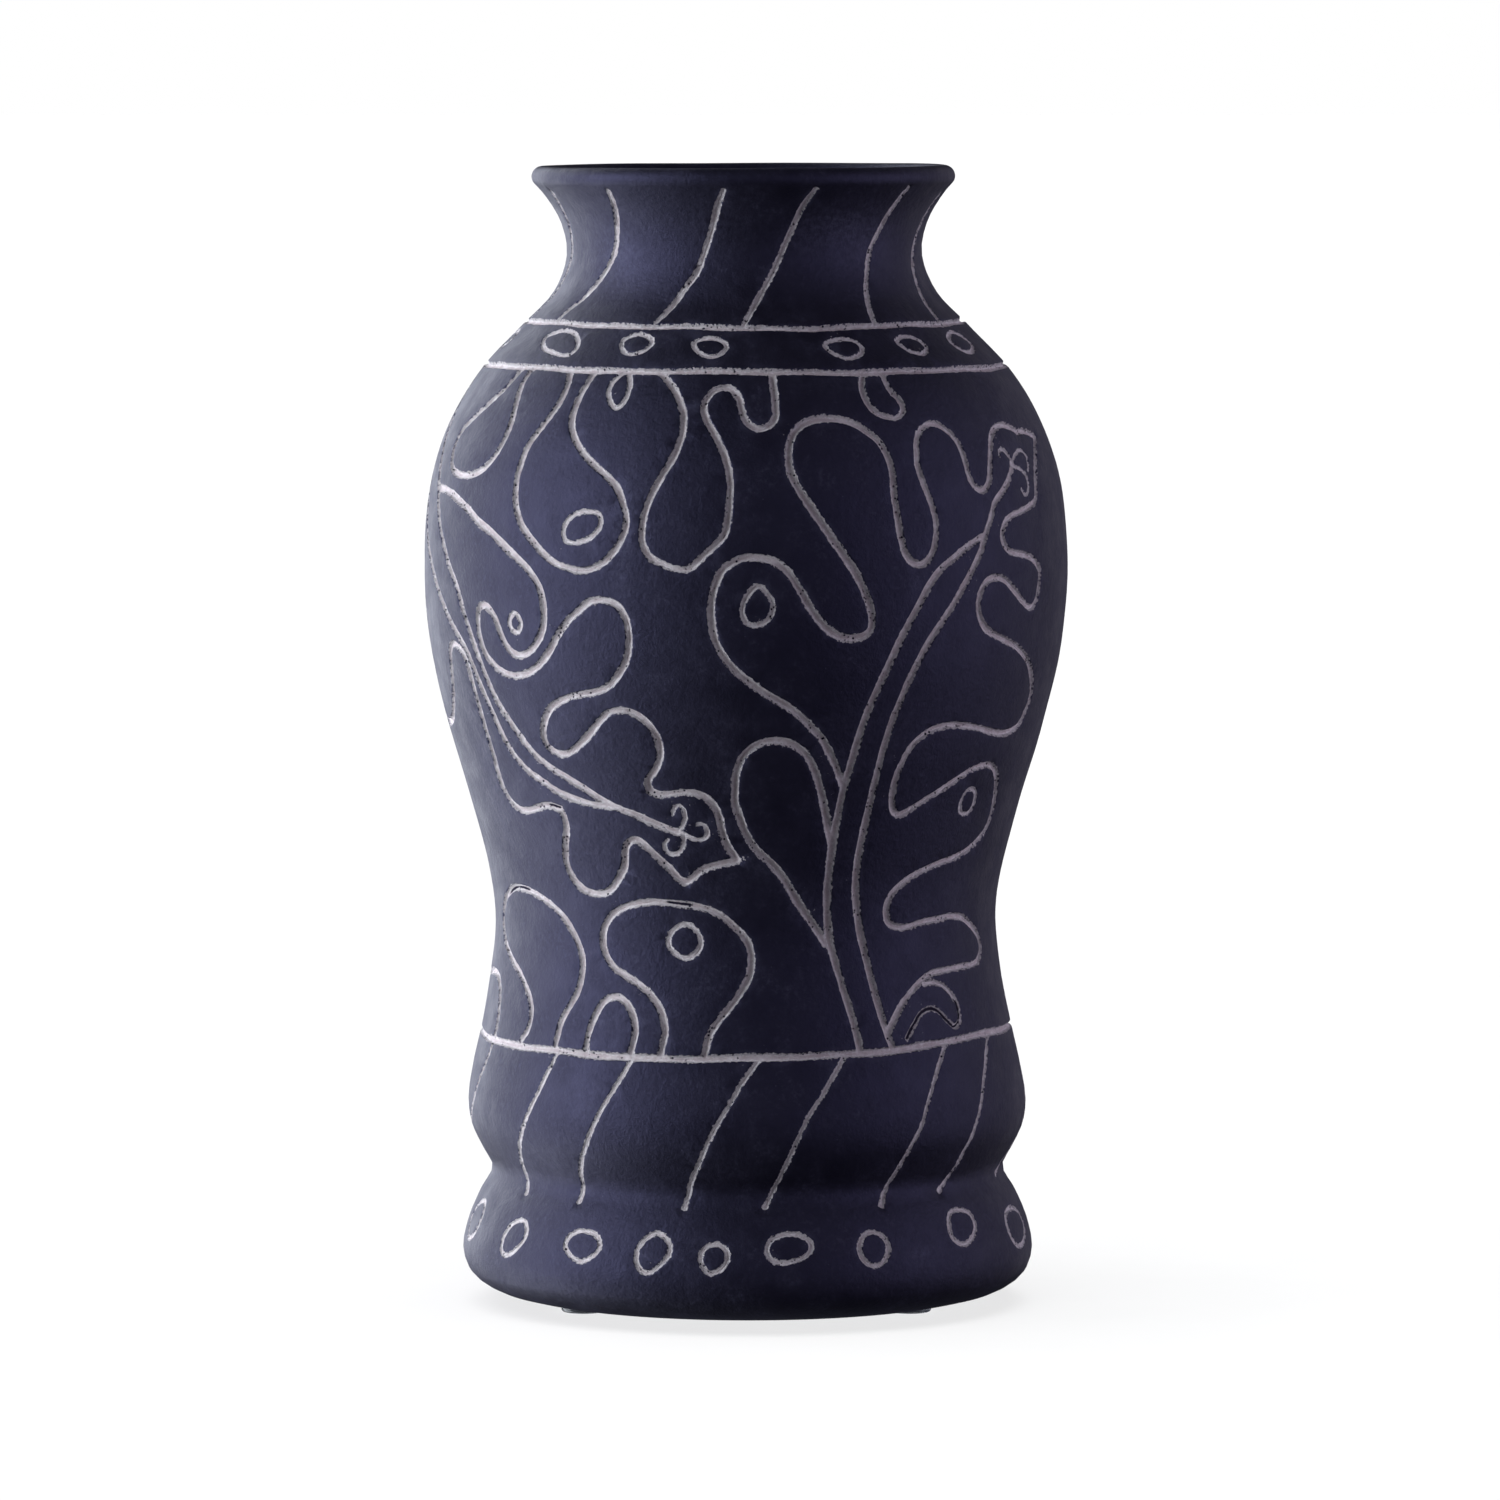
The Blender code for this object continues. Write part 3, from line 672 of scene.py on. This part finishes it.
# Plain wall between the cuts: a shaken honeycomb.
PLAIN_STEP_MM = 3.3
ROW_RISE = 0.87            # distance between rows of an even honeycomb, as a share of its step
PLAIN_SHAKE = 0.18
PLAIN_GAP_MM = 1.5
PLAIN_EDGE_ROOM = 0.02
_points, _ = all_turns(np.array(POINTS.uv))
NEAR_TREE = kdtree.KDTree(len(_points))
for i, (u, v) in enumerate(_points.tolist()):
    NEAR_TREE.insert((u, v, 0.0), i)
NEAR_TREE.balance()
v, odd = V_LOW, 0
while v < V_HIGH:
    radius = float(radius_of(v))
    v += PLAIN_STEP_MM * ROW_RISE / radius
    odd = 1 - odd
    count = round(2 * math.pi * radius / PLAIN_STEP_MM)
    shake = CHANCE.uniform(-PLAIN_SHAKE, PLAIN_SHAKE, (count, 2)) * PLAIN_STEP_MM / radius
    for k in range(count):
        u = (2 * math.pi * (k + odd / 2) / count + shake[k, 0]) % (2 * math.pi)
        w = v + shake[k, 1]
        if not V_LOW + PLAIN_EDGE_ROOM < w < V_HIGH - PLAIN_EDGE_ROOM:
            continue
        if NEAR_TREE.find((u, w, 0.0))[2] * radius > PLAIN_GAP_MM:
            POINTS.add(u, w, groove_at(u, w, radius))

UV = np.array(POINTS.uv)
EDGE_MM, HALF_MM, CORE = (np.array(column) for column in zip(*POINTS.info))

ghosts, ghost_index = all_turns(UV)
_, _, faces, _, _, _ = delaunay_2d_cdt([Vector(p) for p in ghosts.tolist()], [], [], 0, 1e-9, False)
faces = np.array(faces)
centre_u = ghosts[faces, 0].mean(axis=1)
faces = ghost_index[faces[(centre_u >= 0) & (centre_u < 2 * math.pi)]]


# --- the pot's mesh ---

def put_in_scene(obj):
    bpy.context.scene.collection.objects.link(obj)
    return obj


def smooth_step(x, low, high):
    t = np.clip((np.asarray(x, float) - low) / (high - low), 0, 1)
    return t * t * (3 - 2 * t)


def cut_depth(edge_mm, half_mm, at):
    """How deep the cut is, in mm, at a distance from its edge."""
    share = np.clip(1 + edge_mm / half_mm, 0, 1)
    depth = 2 * half_mm * CUT_DEPTH_PER_WIDTH * at
    return depth * np.clip(1 - share ** 3, 0, 1)


def rough(points_mm, size_mm, seed):
    """Blender's own noise at each point, about -1 to 1, with lumps of that size."""
    offset = Vector((seed * 7.3, seed * 3.1, seed * 5.7))
    return np.array([noise.noise(Vector(p) / size_mm + offset) for p in points_mm.tolist()])


# The tool bit deeper and shallower along a cut, and left its edge torn.
CHATTER, CHATTER_SIZE_MM = 0.28, 3.5
TORN_MM, TORN_SIZE_MM = 0.10, 0.9
flat = wall_point(UV[:, 0], UV[:, 1], 0.0)
chatter = 1 + CHATTER * rough(flat, CHATTER_SIZE_MM, 1)
TORN_REACH_MM = 1.0
near_cut = EDGE_MM < TORN_REACH_MM
torn = np.zeros(len(UV))
torn[near_cut] = TORN_MM * rough(flat[near_cut], TORN_SIZE_MM, 2)
depth_mm = cut_depth(EDGE_MM + torn, HALF_MM, chatter)
positions = [wall_point(UV[:, 0], UV[:, 1], -depth_mm)]
edge_values = [EDGE_MM + torn]
# Slip is left on the cut's floor, and none of it beyond about half way to the edge.
core_values = [CORE * np.clip(1.15 - (1 + EDGE_MM / HALF_MM) / 0.5, 0, 1)]

haze = np.zeros(len(UV))
height_mm = np.interp(UV[:, 1], WALL_V, WALL_Z)
for turn in (0, 180):
    for deg, mm, round_mm, up_mm, strength in HAZE_SPOTS:
        du = turn_from(deg + turn, UV[:, 0])
        d2 = (du * radius_of(UV[:, 1]) / round_mm) ** 2 + ((height_mm - mm) / up_mm) ** 2
        haze = np.maximum(haze, strength * np.exp(-d2))
haze_values = [haze]

RING_U = 2 * math.pi * np.arange(SEGMENTS) / SEGMENTS
LOW_RING_START, HIGH_RING_START = 0, SEGMENTS
total = len(UV)
face_list = [faces]


def add_plain_values(count):
    for values, value in ((edge_values, REACH_MM), (core_values, 0.0), (haze_values, 0.0)):
        values.append(np.full(count, value))


def add_rings(start, profile, outward):
    """Rings of quads from an existing ring of vertices along a (radius, height) profile."""
    global total
    last = start + np.arange(SEGMENTS)
    for r, z in profile:
        positions.append(np.stack([r * np.sin(RING_U), -r * np.cos(RING_U), np.full(SEGMENTS, z)], axis=1))
        add_plain_values(SEGMENTS)
        ring = total + np.arange(SEGMENTS)
        total += SEGMENTS
        a, b, c, d = last, np.roll(last, -1), np.roll(ring, -1), ring
        quad = (a, b, c, d) if outward else (b, a, d, c)
        face_list.append(np.stack([quad[0], quad[1], quad[2]], axis=1))
        face_list.append(np.stack([quad[0], quad[2], quad[3]], axis=1))
        last = ring
    return last


def add_centre(last, height_mm, faces_up):
    """A fan of faces from a ring of vertices to a point on the axis."""
    global total
    positions.append(np.array([[0.0, 0.0, height_mm]]))
    add_plain_values(1)
    ahead = np.roll(last, -1)
    first, second = (last, ahead) if faces_up else (ahead, last)
    face_list.append(np.stack([first, second, np.full(SEGMENTS, total)], axis=1))
    total += 1


LIP_STEPS = 16
lip_start, lip_end = LIP_ARC_DEG
lip = [(LIP_CENTRE_MM[0] + LIP_RADIUS_MM * math.cos(math.radians(a)),
        LIP_CENTRE_MM[1] + LIP_RADIUS_MM * math.sin(math.radians(a)))
       for a in np.linspace(lip_start, lip_end, LIP_STEPS + 1)[1:]]
inside = catmull_rom((lip[-1],) + INSIDE_MM, substeps=3)[1:-1]
last = add_rings(HIGH_RING_START, lip + [tuple(p) for p in inside], True)
add_centre(last, INSIDE_MM[-1][1], True)

# The underside: round the foot's edge, then in to the middle, slightly hollow.
UNDERSIDE_MM = ((58.0, 0.05), (44.0, 0.1), (30.0, 0.15), (15.0, 0.15))
FIRST_DROP_MM = 0.8        # from the carved mesh's lowest ring to the next one down, at least
POINTS_PER_RING = 10       # of the wall's curve
below = WALL[WALL_Z < LOW_EDGE_MM - FIRST_DROP_MM][::-POINTS_PER_RING]
below = [tuple(p) for p in below] + [OUTSIDE_MM[0], *UNDERSIDE_MM]
last = add_rings(LOW_RING_START, below, False)
add_centre(last, UNDERSIDE_MM[-1][1], False)

shape = np.vstack(positions)
# The turned clay isn't quite round or straight: slow swells, a slight lean, a settled height.
# A swell's size in mm, waves round the pot, phase, and the rise in mm that turns it by a radian.
SWELLS = ((0.10, 2, 0.9, 60), (0.07, 3, -1.3, -45), (0.05, 1, 0.0, 4.1))
BELLY_MM, BELLY_REACH_MM = 206, 22
spread = np.hypot(shape[:, 0], shape[:, 1])
around = np.arctan2(shape[:, 0], -shape[:, 1])
swell = sum(mm * np.sin(waves * around + phase + shape[:, 2] / rise) for mm, waves, phase, rise in SWELLS)
keep = np.clip(spread / 30, 0, 1)
at_belly = np.exp(-((shape[:, 2] - BELLY_MM) / BELLY_REACH_MM) ** 2)
scale = 1 + (swell - BELLY_SKIN_MM * at_belly) * keep / np.maximum(spread, 1.0)
lean = np.interp(shape[:, 2], [h for h, _ in LEAN_MM], [x for _, x in LEAN_MM])
shape[:, 0] = shape[:, 0] * scale + lean
shape[:, 1] = shape[:, 1] * scale
# The lip is a little uneven, and lower on the left.
lip_wave = 0.05 * np.sin(3 * around + 2.0) + 0.04 * np.sin(7 * around)
lip_wave = lip_wave + LIP_TILT_MM * (shape[:, 0] / 60 - 1)
shape[:, 2] = shape[:, 2] * HEIGHT_KEEP + lip_wave * smooth_step(shape[:, 2], 285, 320)
shape = shape * MM
shape[:, 2] += CLAY_LIFT

pot_mesh = bpy.data.meshes.new("clay_pot")
pot_mesh.from_pydata(shape.tolist(), [], np.vstack(face_list).tolist())
pot_mesh.validate()
for name, values in (("edge_mm", edge_values), ("slip_left", core_values), ("haze", haze_values)):
    attribute = pot_mesh.attributes.new(name, "FLOAT", "POINT")
    attribute.data.foreach_set("value", np.concatenate(values).astype(np.float32))
pot_mesh.shade_smooth()
pot = put_in_scene(bpy.data.objects.new("clay_pot", pot_mesh))
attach(pot, "root")
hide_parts("pot_body")


# --- materials ---

class Nodes:
    """Short calls that add shader nodes and join them."""

    def __init__(self, name):
        self.material = bpy.data.materials.new(name)
        self.material.use_nodes = True
        self.tree = self.material.node_tree
        self.shader = self.tree.nodes["Principled BSDF"]
        self.at = self.add("ShaderNodeTexCoord").outputs["Object"]

    def add(self, kind, **settings):
        node = self.tree.nodes.new(kind)
        for key, value in settings.items():
            setattr(node, key, value)
        return node

    def put(self, socket, value):
        if isinstance(value, bpy.types.NodeSocket):
            self.tree.links.new(value, socket)
        else:
            socket.default_value = value

    def math(self, operation, a, b, clamp=False):
        node = self.add("ShaderNodeMath", operation=operation, use_clamp=clamp)
        self.put(node.inputs[0], a)
        self.put(node.inputs[1], b)
        return node.outputs[0]

    def times(self, a, b):
        return self.math("MULTIPLY", a, b)

    def plus(self, a, b):
        return self.math("ADD", a, b)

    def span(self, value, low, high, to_low=0.0, to_high=1.0, smooth=True):
        """Maps low..high to to_low..to_high, held at both ends."""
        node = self.add("ShaderNodeMapRange", interpolation_type="SMOOTHSTEP" if smooth else "LINEAR")
        self.put(node.inputs["Value"], value)
        for key, v in (("From Min", low), ("From Max", high), ("To Min", to_low), ("To Max", to_high)):
            self.put(node.inputs[key], v)
        return node.outputs["Result"]

    def mix(self, share, a, b):
        node = self.add("ShaderNodeMix", data_type="RGBA")
        self.put(node.inputs[0], share)
        self.put(node.inputs[6], a)
        self.put(node.inputs[7], b)
        return node.outputs[2]

    def noise(self, size_mm, detail, roughness, stretch=(1, 1, 1), seed=0.0):
        mapping = self.add("ShaderNodeMapping")
        self.put(mapping.inputs["Vector"], self.at)
        mapping.inputs["Scale"].default_value = stretch
        mapping.inputs["Location"].default_value = (seed, seed * 0.7, seed * 1.3)
        node = self.add("ShaderNodeTexNoise")
        self.put(node.inputs["Vector"], mapping.outputs[0])
        node.inputs["Scale"].default_value = 1 / (size_mm * MM)
        node.inputs["Detail"].default_value = detail
        node.inputs["Roughness"].default_value = roughness
        return node.outputs[0]

    def spots(self, size_mm, seed=0.0):
        """Distance to scattered points, in shares of their spacing."""
        mapping = self.add("ShaderNodeMapping")
        self.put(mapping.inputs["Vector"], self.at)
        mapping.inputs["Location"].default_value = (seed, seed * 0.7, seed * 1.3)
        node = self.add("ShaderNodeTexVoronoi")
        self.put(node.inputs["Vector"], mapping.outputs[0])
        node.inputs["Scale"].default_value = 1 / (size_mm * MM)
        return node.outputs["Distance"]

    def attribute(self, name):
        return self.add("ShaderNodeAttribute", attribute_name=name).outputs["Fac"]

    def bump(self, height, depth_mm, under=None):
        node = self.add("ShaderNodeBump")
        self.put(node.inputs["Height"], height)
        node.inputs["Distance"].default_value = depth_mm * MM
        if under is not None:
            self.put(node.inputs["Normal"], under)
        return node.outputs[0]


SLIP_DARK = (0.0046, 0.0036, 0.0062, 1)
SLIP_PALE = (0.0095, 0.0082, 0.0135, 1)
DUST = (0.085, 0.085, 0.130, 1)
CLAY = (0.740, 0.682, 0.690, 1)
# Clay darkened and warmed as painted shade, for the cut's floor.
CLAY_IN_PAINTED_SHADE = (0.470, 0.392, 0.400, 1)
CLAY_CHALK = (0.860, 0.822, 0.834, 1)
PIT = (0.014, 0.011, 0.016, 1)

n = Nodes("black_slip_over_pale_clay")
edge, slip_left, haze_here = n.attribute("edge_mm"), n.attribute("slip_left"), n.attribute("haze")

# The slip: slow patches, faint upright runs, fine dust and a pale bloom where it was rubbed.
patches = n.noise(38, 4, 0.6)
cloud = n.noise(9, 4, 0.65, seed=2.0)
runs = n.noise(5, 3, 0.6, stretch=(1, 1, 0.12), seed=4.0)
rubbed = n.noise(1.7, 6, 0.75, seed=6.0)
grain = n.noise(0.55, 3, 0.7, seed=8.0)
sand = n.noise(1.15, 4, 0.72, seed=21.0)
tone = n.plus(n.times(patches, 0.5), n.times(cloud, 0.3))
tone = n.plus(tone, n.times(runs, 0.2))
slip = n.mix(n.span(tone, 0.38, 0.62), SLIP_DARK, SLIP_PALE)
bloom = n.times(haze_here, n.span(rubbed, 0.38, 0.68, 0.15, 1.0))
general = n.times(n.span(cloud, 0.44, 0.72), n.span(rubbed, 0.44, 0.68))
bloom = n.math("MAXIMUM", bloom, n.times(general, 0.42))
beside_cut = n.times(n.span(edge, 0.1, 1.8, 1.0, 0.0), n.span(cloud, 0.42, 0.66))
bloom = n.math("MAXIMUM", bloom, n.times(beside_cut, 0.34))
flecks = n.span(n.spots(1.9, 3.0), 0.07, 0.13, 1.0, 0.0)
flecks = n.times(flecks, n.span(n.noise(6, 2, 0.5, seed=9.0), 0.56, 0.66))
bloom = n.math("MAXIMUM", bloom, n.times(flecks, 0.45), clamp=True)
slip = n.mix(n.times(bloom, 0.62), slip, DUST)

# The bared clay: chalky, with painted shade in patches on the cut's floor, with dark pits and slip left in
# places.
chalk = n.noise(1.6, 4, 0.65, seed=11.0)
clay = n.mix(n.span(chalk, 0.35, 0.62), CLAY, CLAY_CHALK)
tear = n.times(n.math("SUBTRACT", n.noise(1.15, 5, 0.78, seed=12.0), 0.5), 2.1)
ragged = n.plus(edge, n.plus(tear, 0.04))
# Painted shade: the cut's floor is darkened towards a warmer grey, in patches.
floor_shade_patches = n.span(n.noise(3.5, 3, 0.6, seed=13.0), 0.30, 0.60, 0.35, 1.0)
painted_floor_shade = n.times(n.span(ragged, -0.85, -0.35, 1.0, 0.0), floor_shade_patches)
clay = n.mix(n.times(painted_floor_shade, 0.75), clay, CLAY_IN_PAINTED_SHADE)
pits = n.times(n.span(n.spots(1.15, 5.0), 0.24, 0.34, 1.0, 0.0),
               n.span(n.noise(4.5, 4, 0.65, seed=14.0), 0.53, 0.60))
ragged_slip = n.plus(slip_left, n.times(n.math("SUBTRACT", grain, 0.5), 0.8))
pits = n.math("MAXIMUM", pits, n.span(ragged_slip, 0.42, 0.56))
clay = n.mix(pits, clay, PIT)

bare = n.span(ragged, 0.04, -0.06)
n.put(n.shader.inputs["Base Color"], n.mix(bare, slip, clay))
slip_rough = n.span(cloud, 0.3, 0.7, 0.50, 0.62)
n.put(n.shader.inputs["Roughness"], n.span(bare, 0, 1, slip_rough, 0.92, smooth=False))
n.shader.inputs["Specular IOR Level"].default_value = 0.58
n.shader.inputs["Specular Tint"].default_value = (0.50, 0.50, 1.0, 1)
skin = n.bump(n.noise(2.6, 4, 0.6, seed=16.0), 0.18)
skin = n.bump(sand, 0.17, under=skin)
skin = n.bump(grain, 0.05, under=skin)
# The torn rim of the cut, and crumbs and pits in it.
skin = n.bump(n.span(ragged, -0.42, 0.04), 0.38, under=skin)
crumb = n.times(bare, n.noise(0.8, 4, 0.75, seed=17.0))
sunk = n.times(pits, n.times(bare, 0.8))
skin = n.bump(n.math("SUBTRACT", crumb, sunk), 0.38, under=skin)
n.put(n.shader.inputs["Normal"], skin)
pot_mesh.materials.append(n.material)

# --- clear bumper pads ---

n = Nodes("clear_pad_rubber")
n.shader.inputs["Base Color"].default_value = (0.42, 0.44, 0.47, 1)
n.shader.inputs["Transmission Weight"].default_value = 0.85
n.shader.inputs["IOR"].default_value = 1.48
n.put(n.shader.inputs["Roughness"], n.span(n.noise(2.0, 3, 0.6), 0.35, 0.65, 0.10, 0.24))
n.put(n.shader.inputs["Normal"], n.bump(n.noise(0.8, 3, 0.6, seed=1.0), 0.03))
PAD_MATERIAL = n.material

PAD_SEGMENTS = 72
PAD_ROOM_MM = 0.02         # kept clear inside the CAD pad's side
PAD_EDGE_MM = 0.9          # size of the rounded lower edge
PAD_EDGE_IN_MM = 1.1       # where that rounding starts, in from the pad's widest
PAD_RING_IN_MM = 2.4       # a ring that keeps the underside's shading flat, in from the pad's widest
GLUE_MM = 0.26             # thickness of the film of glue between pad and clay


def turned(name, profile, centre):
    """A solid turned round an upright axis from (radius, height) in mm; radius 0 closes it."""
    verts, faces, rows = [], [], []
    for r, z in profile:
        if r == 0:
            rows.append([len(verts)])
            verts.append((centre.x, centre.y, z * MM))
            continue
        rows.append(range(len(verts), len(verts) + PAD_SEGMENTS))
        for k in range(PAD_SEGMENTS):
            a = 2 * math.pi * k / PAD_SEGMENTS
            verts.append((centre.x + r * MM * math.cos(a), centre.y + r * MM * math.sin(a), z * MM))
    for low, high in zip(rows, rows[1:]):
        for k in range(PAD_SEGMENTS):
            j = (k + 1) % PAD_SEGMENTS
            if len(low) == 1:
                faces.append((low[0], high[j], high[k]))
            elif len(high) == 1:
                faces.append((low[k], low[j], high[0]))
            else:
                faces.append((low[k], low[j], high[j], high[k]))
    mesh = bpy.data.meshes.new(name)
    mesh.from_pydata(verts, [], faces)
    mesh.shade_smooth()
    mesh.materials.append(PAD_MATERIAL)
    return put_in_scene(bpy.data.objects.new(name, mesh))


for node in PADS:
    low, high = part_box(node)
    reach = (high.x - low.x) / 2 / MM - PAD_ROOM_MM
    tall = (high.z - low.z) / MM
    edge_arc = [math.radians(a) for a in range(0, 91, 15)]
    rounding = [(reach - PAD_EDGE_IN_MM + PAD_EDGE_MM * math.sin(a), PAD_EDGE_MM - PAD_EDGE_MM * math.cos(a))
                for a in edge_arc]
    # The side leans out to the top, with a thin film of glue between pad and clay.
    profile = [(0, 0.0), (reach - PAD_RING_IN_MM, 0.0)] + rounding
    profile += [(reach - 0.05, tall * 0.62), (reach, tall * 0.9), (reach, tall)]
    profile += [(reach - 0.35, tall + 0.02), (reach - 0.4, tall + GLUE_MM), (0, tall + GLUE_MM)]
    pad = turned(node.replace("foot_pad", "clear_pad"), profile, (low + high) / 2)
    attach(pad, "root")
    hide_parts(node)

# --- floor, light and camera ---

FLOOR_REACH = 40.0
corners = ((-1, -1), (1, -1), (1, 1), (-1, 1))
floor_mesh = bpy.data.meshes.new("floor")
floor_mesh.from_pydata([(x * FLOOR_REACH, y * FLOOR_REACH, 0.0) for x, y in corners], [], [(0, 1, 2, 3)])
floor = put_in_scene(bpy.data.objects.new("floor", floor_mesh))
n = Nodes("pale_floor")
FLOOR_GREYS = ((0.80, 0.80, 0.80, 1), (0.83, 0.83, 0.83, 1))
n.put(n.shader.inputs["Base Color"], n.mix(n.noise(60, 3, 0.5), *FLOOR_GREYS))
n.shader.inputs["Roughness"].default_value = 0.9
n.shader.inputs["Specular IOR Level"].default_value = 0.0
floor_mesh.materials.append(n.material)
floor.visible_diffuse = False
floor.visible_glossy = False
floor.visible_shadow = False
floor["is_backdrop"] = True

only_floor = bpy.data.collections.new("only_floor")
only_floor.objects.link(floor)
only_pot = bpy.data.collections.new("only_pot")
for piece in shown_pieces():
    only_pot.objects.link(piece)

MIDDLE = Vector((0.0, 0.0, 0.17))


def soft_box(name, azimuth, height, distance, wide, tall, watts, colour):
    """A soft light that looks at the pot's middle from azimuth degrees round from the front."""
    data = bpy.data.lights.new(name, "AREA")
    data.shape = "RECTANGLE"
    data.size, data.size_y = wide, tall
    data.energy = watts
    data.color = colour
    light = put_in_scene(bpy.data.objects.new(name, data))
    a = math.radians(azimuth)
    light.location = (distance * math.sin(a), -distance * math.cos(a), height)
    light.rotation_euler = (MIDDLE - light.location).to_track_quat("-Z", "Y").to_euler()
    light.light_linking.receiver_collection = only_pot


LEFT_TINT = (0.955, 1.0, 1.06)
RIGHT_TINT = (1.0, 0.93, 1.14)
# The floor bounce stands for the light that the pale floor throws back up.
for box in (
    ("left_front_box", -62, 0.45, 1.4, 1.1, 1.6, 5.5, LEFT_TINT),
    ("left_box", -80, 0.45, 1.4, 1.1, 1.6, 23, LEFT_TINT),
    ("left_rear_box", -140, 0.45, 1.4, 1.1, 1.6, 19, LEFT_TINT),
    ("right_front_box", 50, 0.35, 1.4, 1.1, 1.6, 2.2, RIGHT_TINT),
    ("right_box", 84, 0.35, 1.4, 1.1, 1.6, 5.8, RIGHT_TINT),
    ("right_rear_box", 140, 0.35, 1.4, 1.1, 1.6, 1.9, RIGHT_TINT),
    ("front_fill", 10, 0.8, 2.4, 1.8, 1.2, 1.2, RIGHT_TINT),
    ("floor_bounce", -102, -0.50, 1.0, 1.1, 0.8, 8, LEFT_TINT),
):
    soft_box(*box)

# The floor is lit like a light table: nearly all of its light passes the pot by.
for name, energy, shadow in (("floor_light", 3.55, False), ("floor_shadow_light", 0.45, True)):
    sun_data = bpy.data.lights.new(name, "SUN")
    sun_data.energy = energy
    sun_data.angle = math.radians(75)
    sun_data.use_shadow = shadow
    sun = put_in_scene(bpy.data.objects.new(name, sun_data))
    sun.rotation_euler = (math.radians(8), math.radians(-10), 0)
    sun.light_linking.receiver_collection = only_floor

world = bpy.data.worlds.new("studio")
bpy.context.scene.world = world
world.use_nodes = True
tree = world.node_tree
tree.nodes.clear()
# White behind everything the camera sees, and almost no light from it on the pot.
seen = tree.nodes.new("ShaderNodeBackground")
seen.inputs["Color"].default_value = (1, 1, 1, 1)
seen.inputs["Strength"].default_value = 1.0
dim = tree.nodes.new("ShaderNodeBackground")
dim.inputs["Color"].default_value = (0.8, 0.85, 1.0, 1)
dim.inputs["Strength"].default_value = 0.05
path = tree.nodes.new("ShaderNodeLightPath")
choose = tree.nodes.new("ShaderNodeMixShader")
out = tree.nodes.new("ShaderNodeOutputWorld")
tree.links.new(path.outputs["Is Camera Ray"], choose.inputs[0])
tree.links.new(dim.outputs[0], choose.inputs[1])
tree.links.new(seen.outputs[0], choose.inputs[2])
tree.links.new(choose.outputs[0], out.inputs[0])

CAMERA_AT = Vector((0.00105, -2.660, 0.359))
CAMERA_LOOKS_AT = Vector((0.00105, 0.0, 0.1568))
cam_data = bpy.data.cameras.new("camera")
cam_data.lens = 225.7
cam_data.sensor_width = 36.0
cam_data.clip_start, cam_data.clip_end = 0.05, 200.0
camera = put_in_scene(bpy.data.objects.new("camera", cam_data))
camera.location = CAMERA_AT
camera.rotation_euler = (CAMERA_LOOKS_AT - CAMERA_AT).to_track_quat("-Z", "Y").to_euler()
bpy.context.scene.camera = camera
bpy.context.scene.view_settings.view_transform = "Standard"
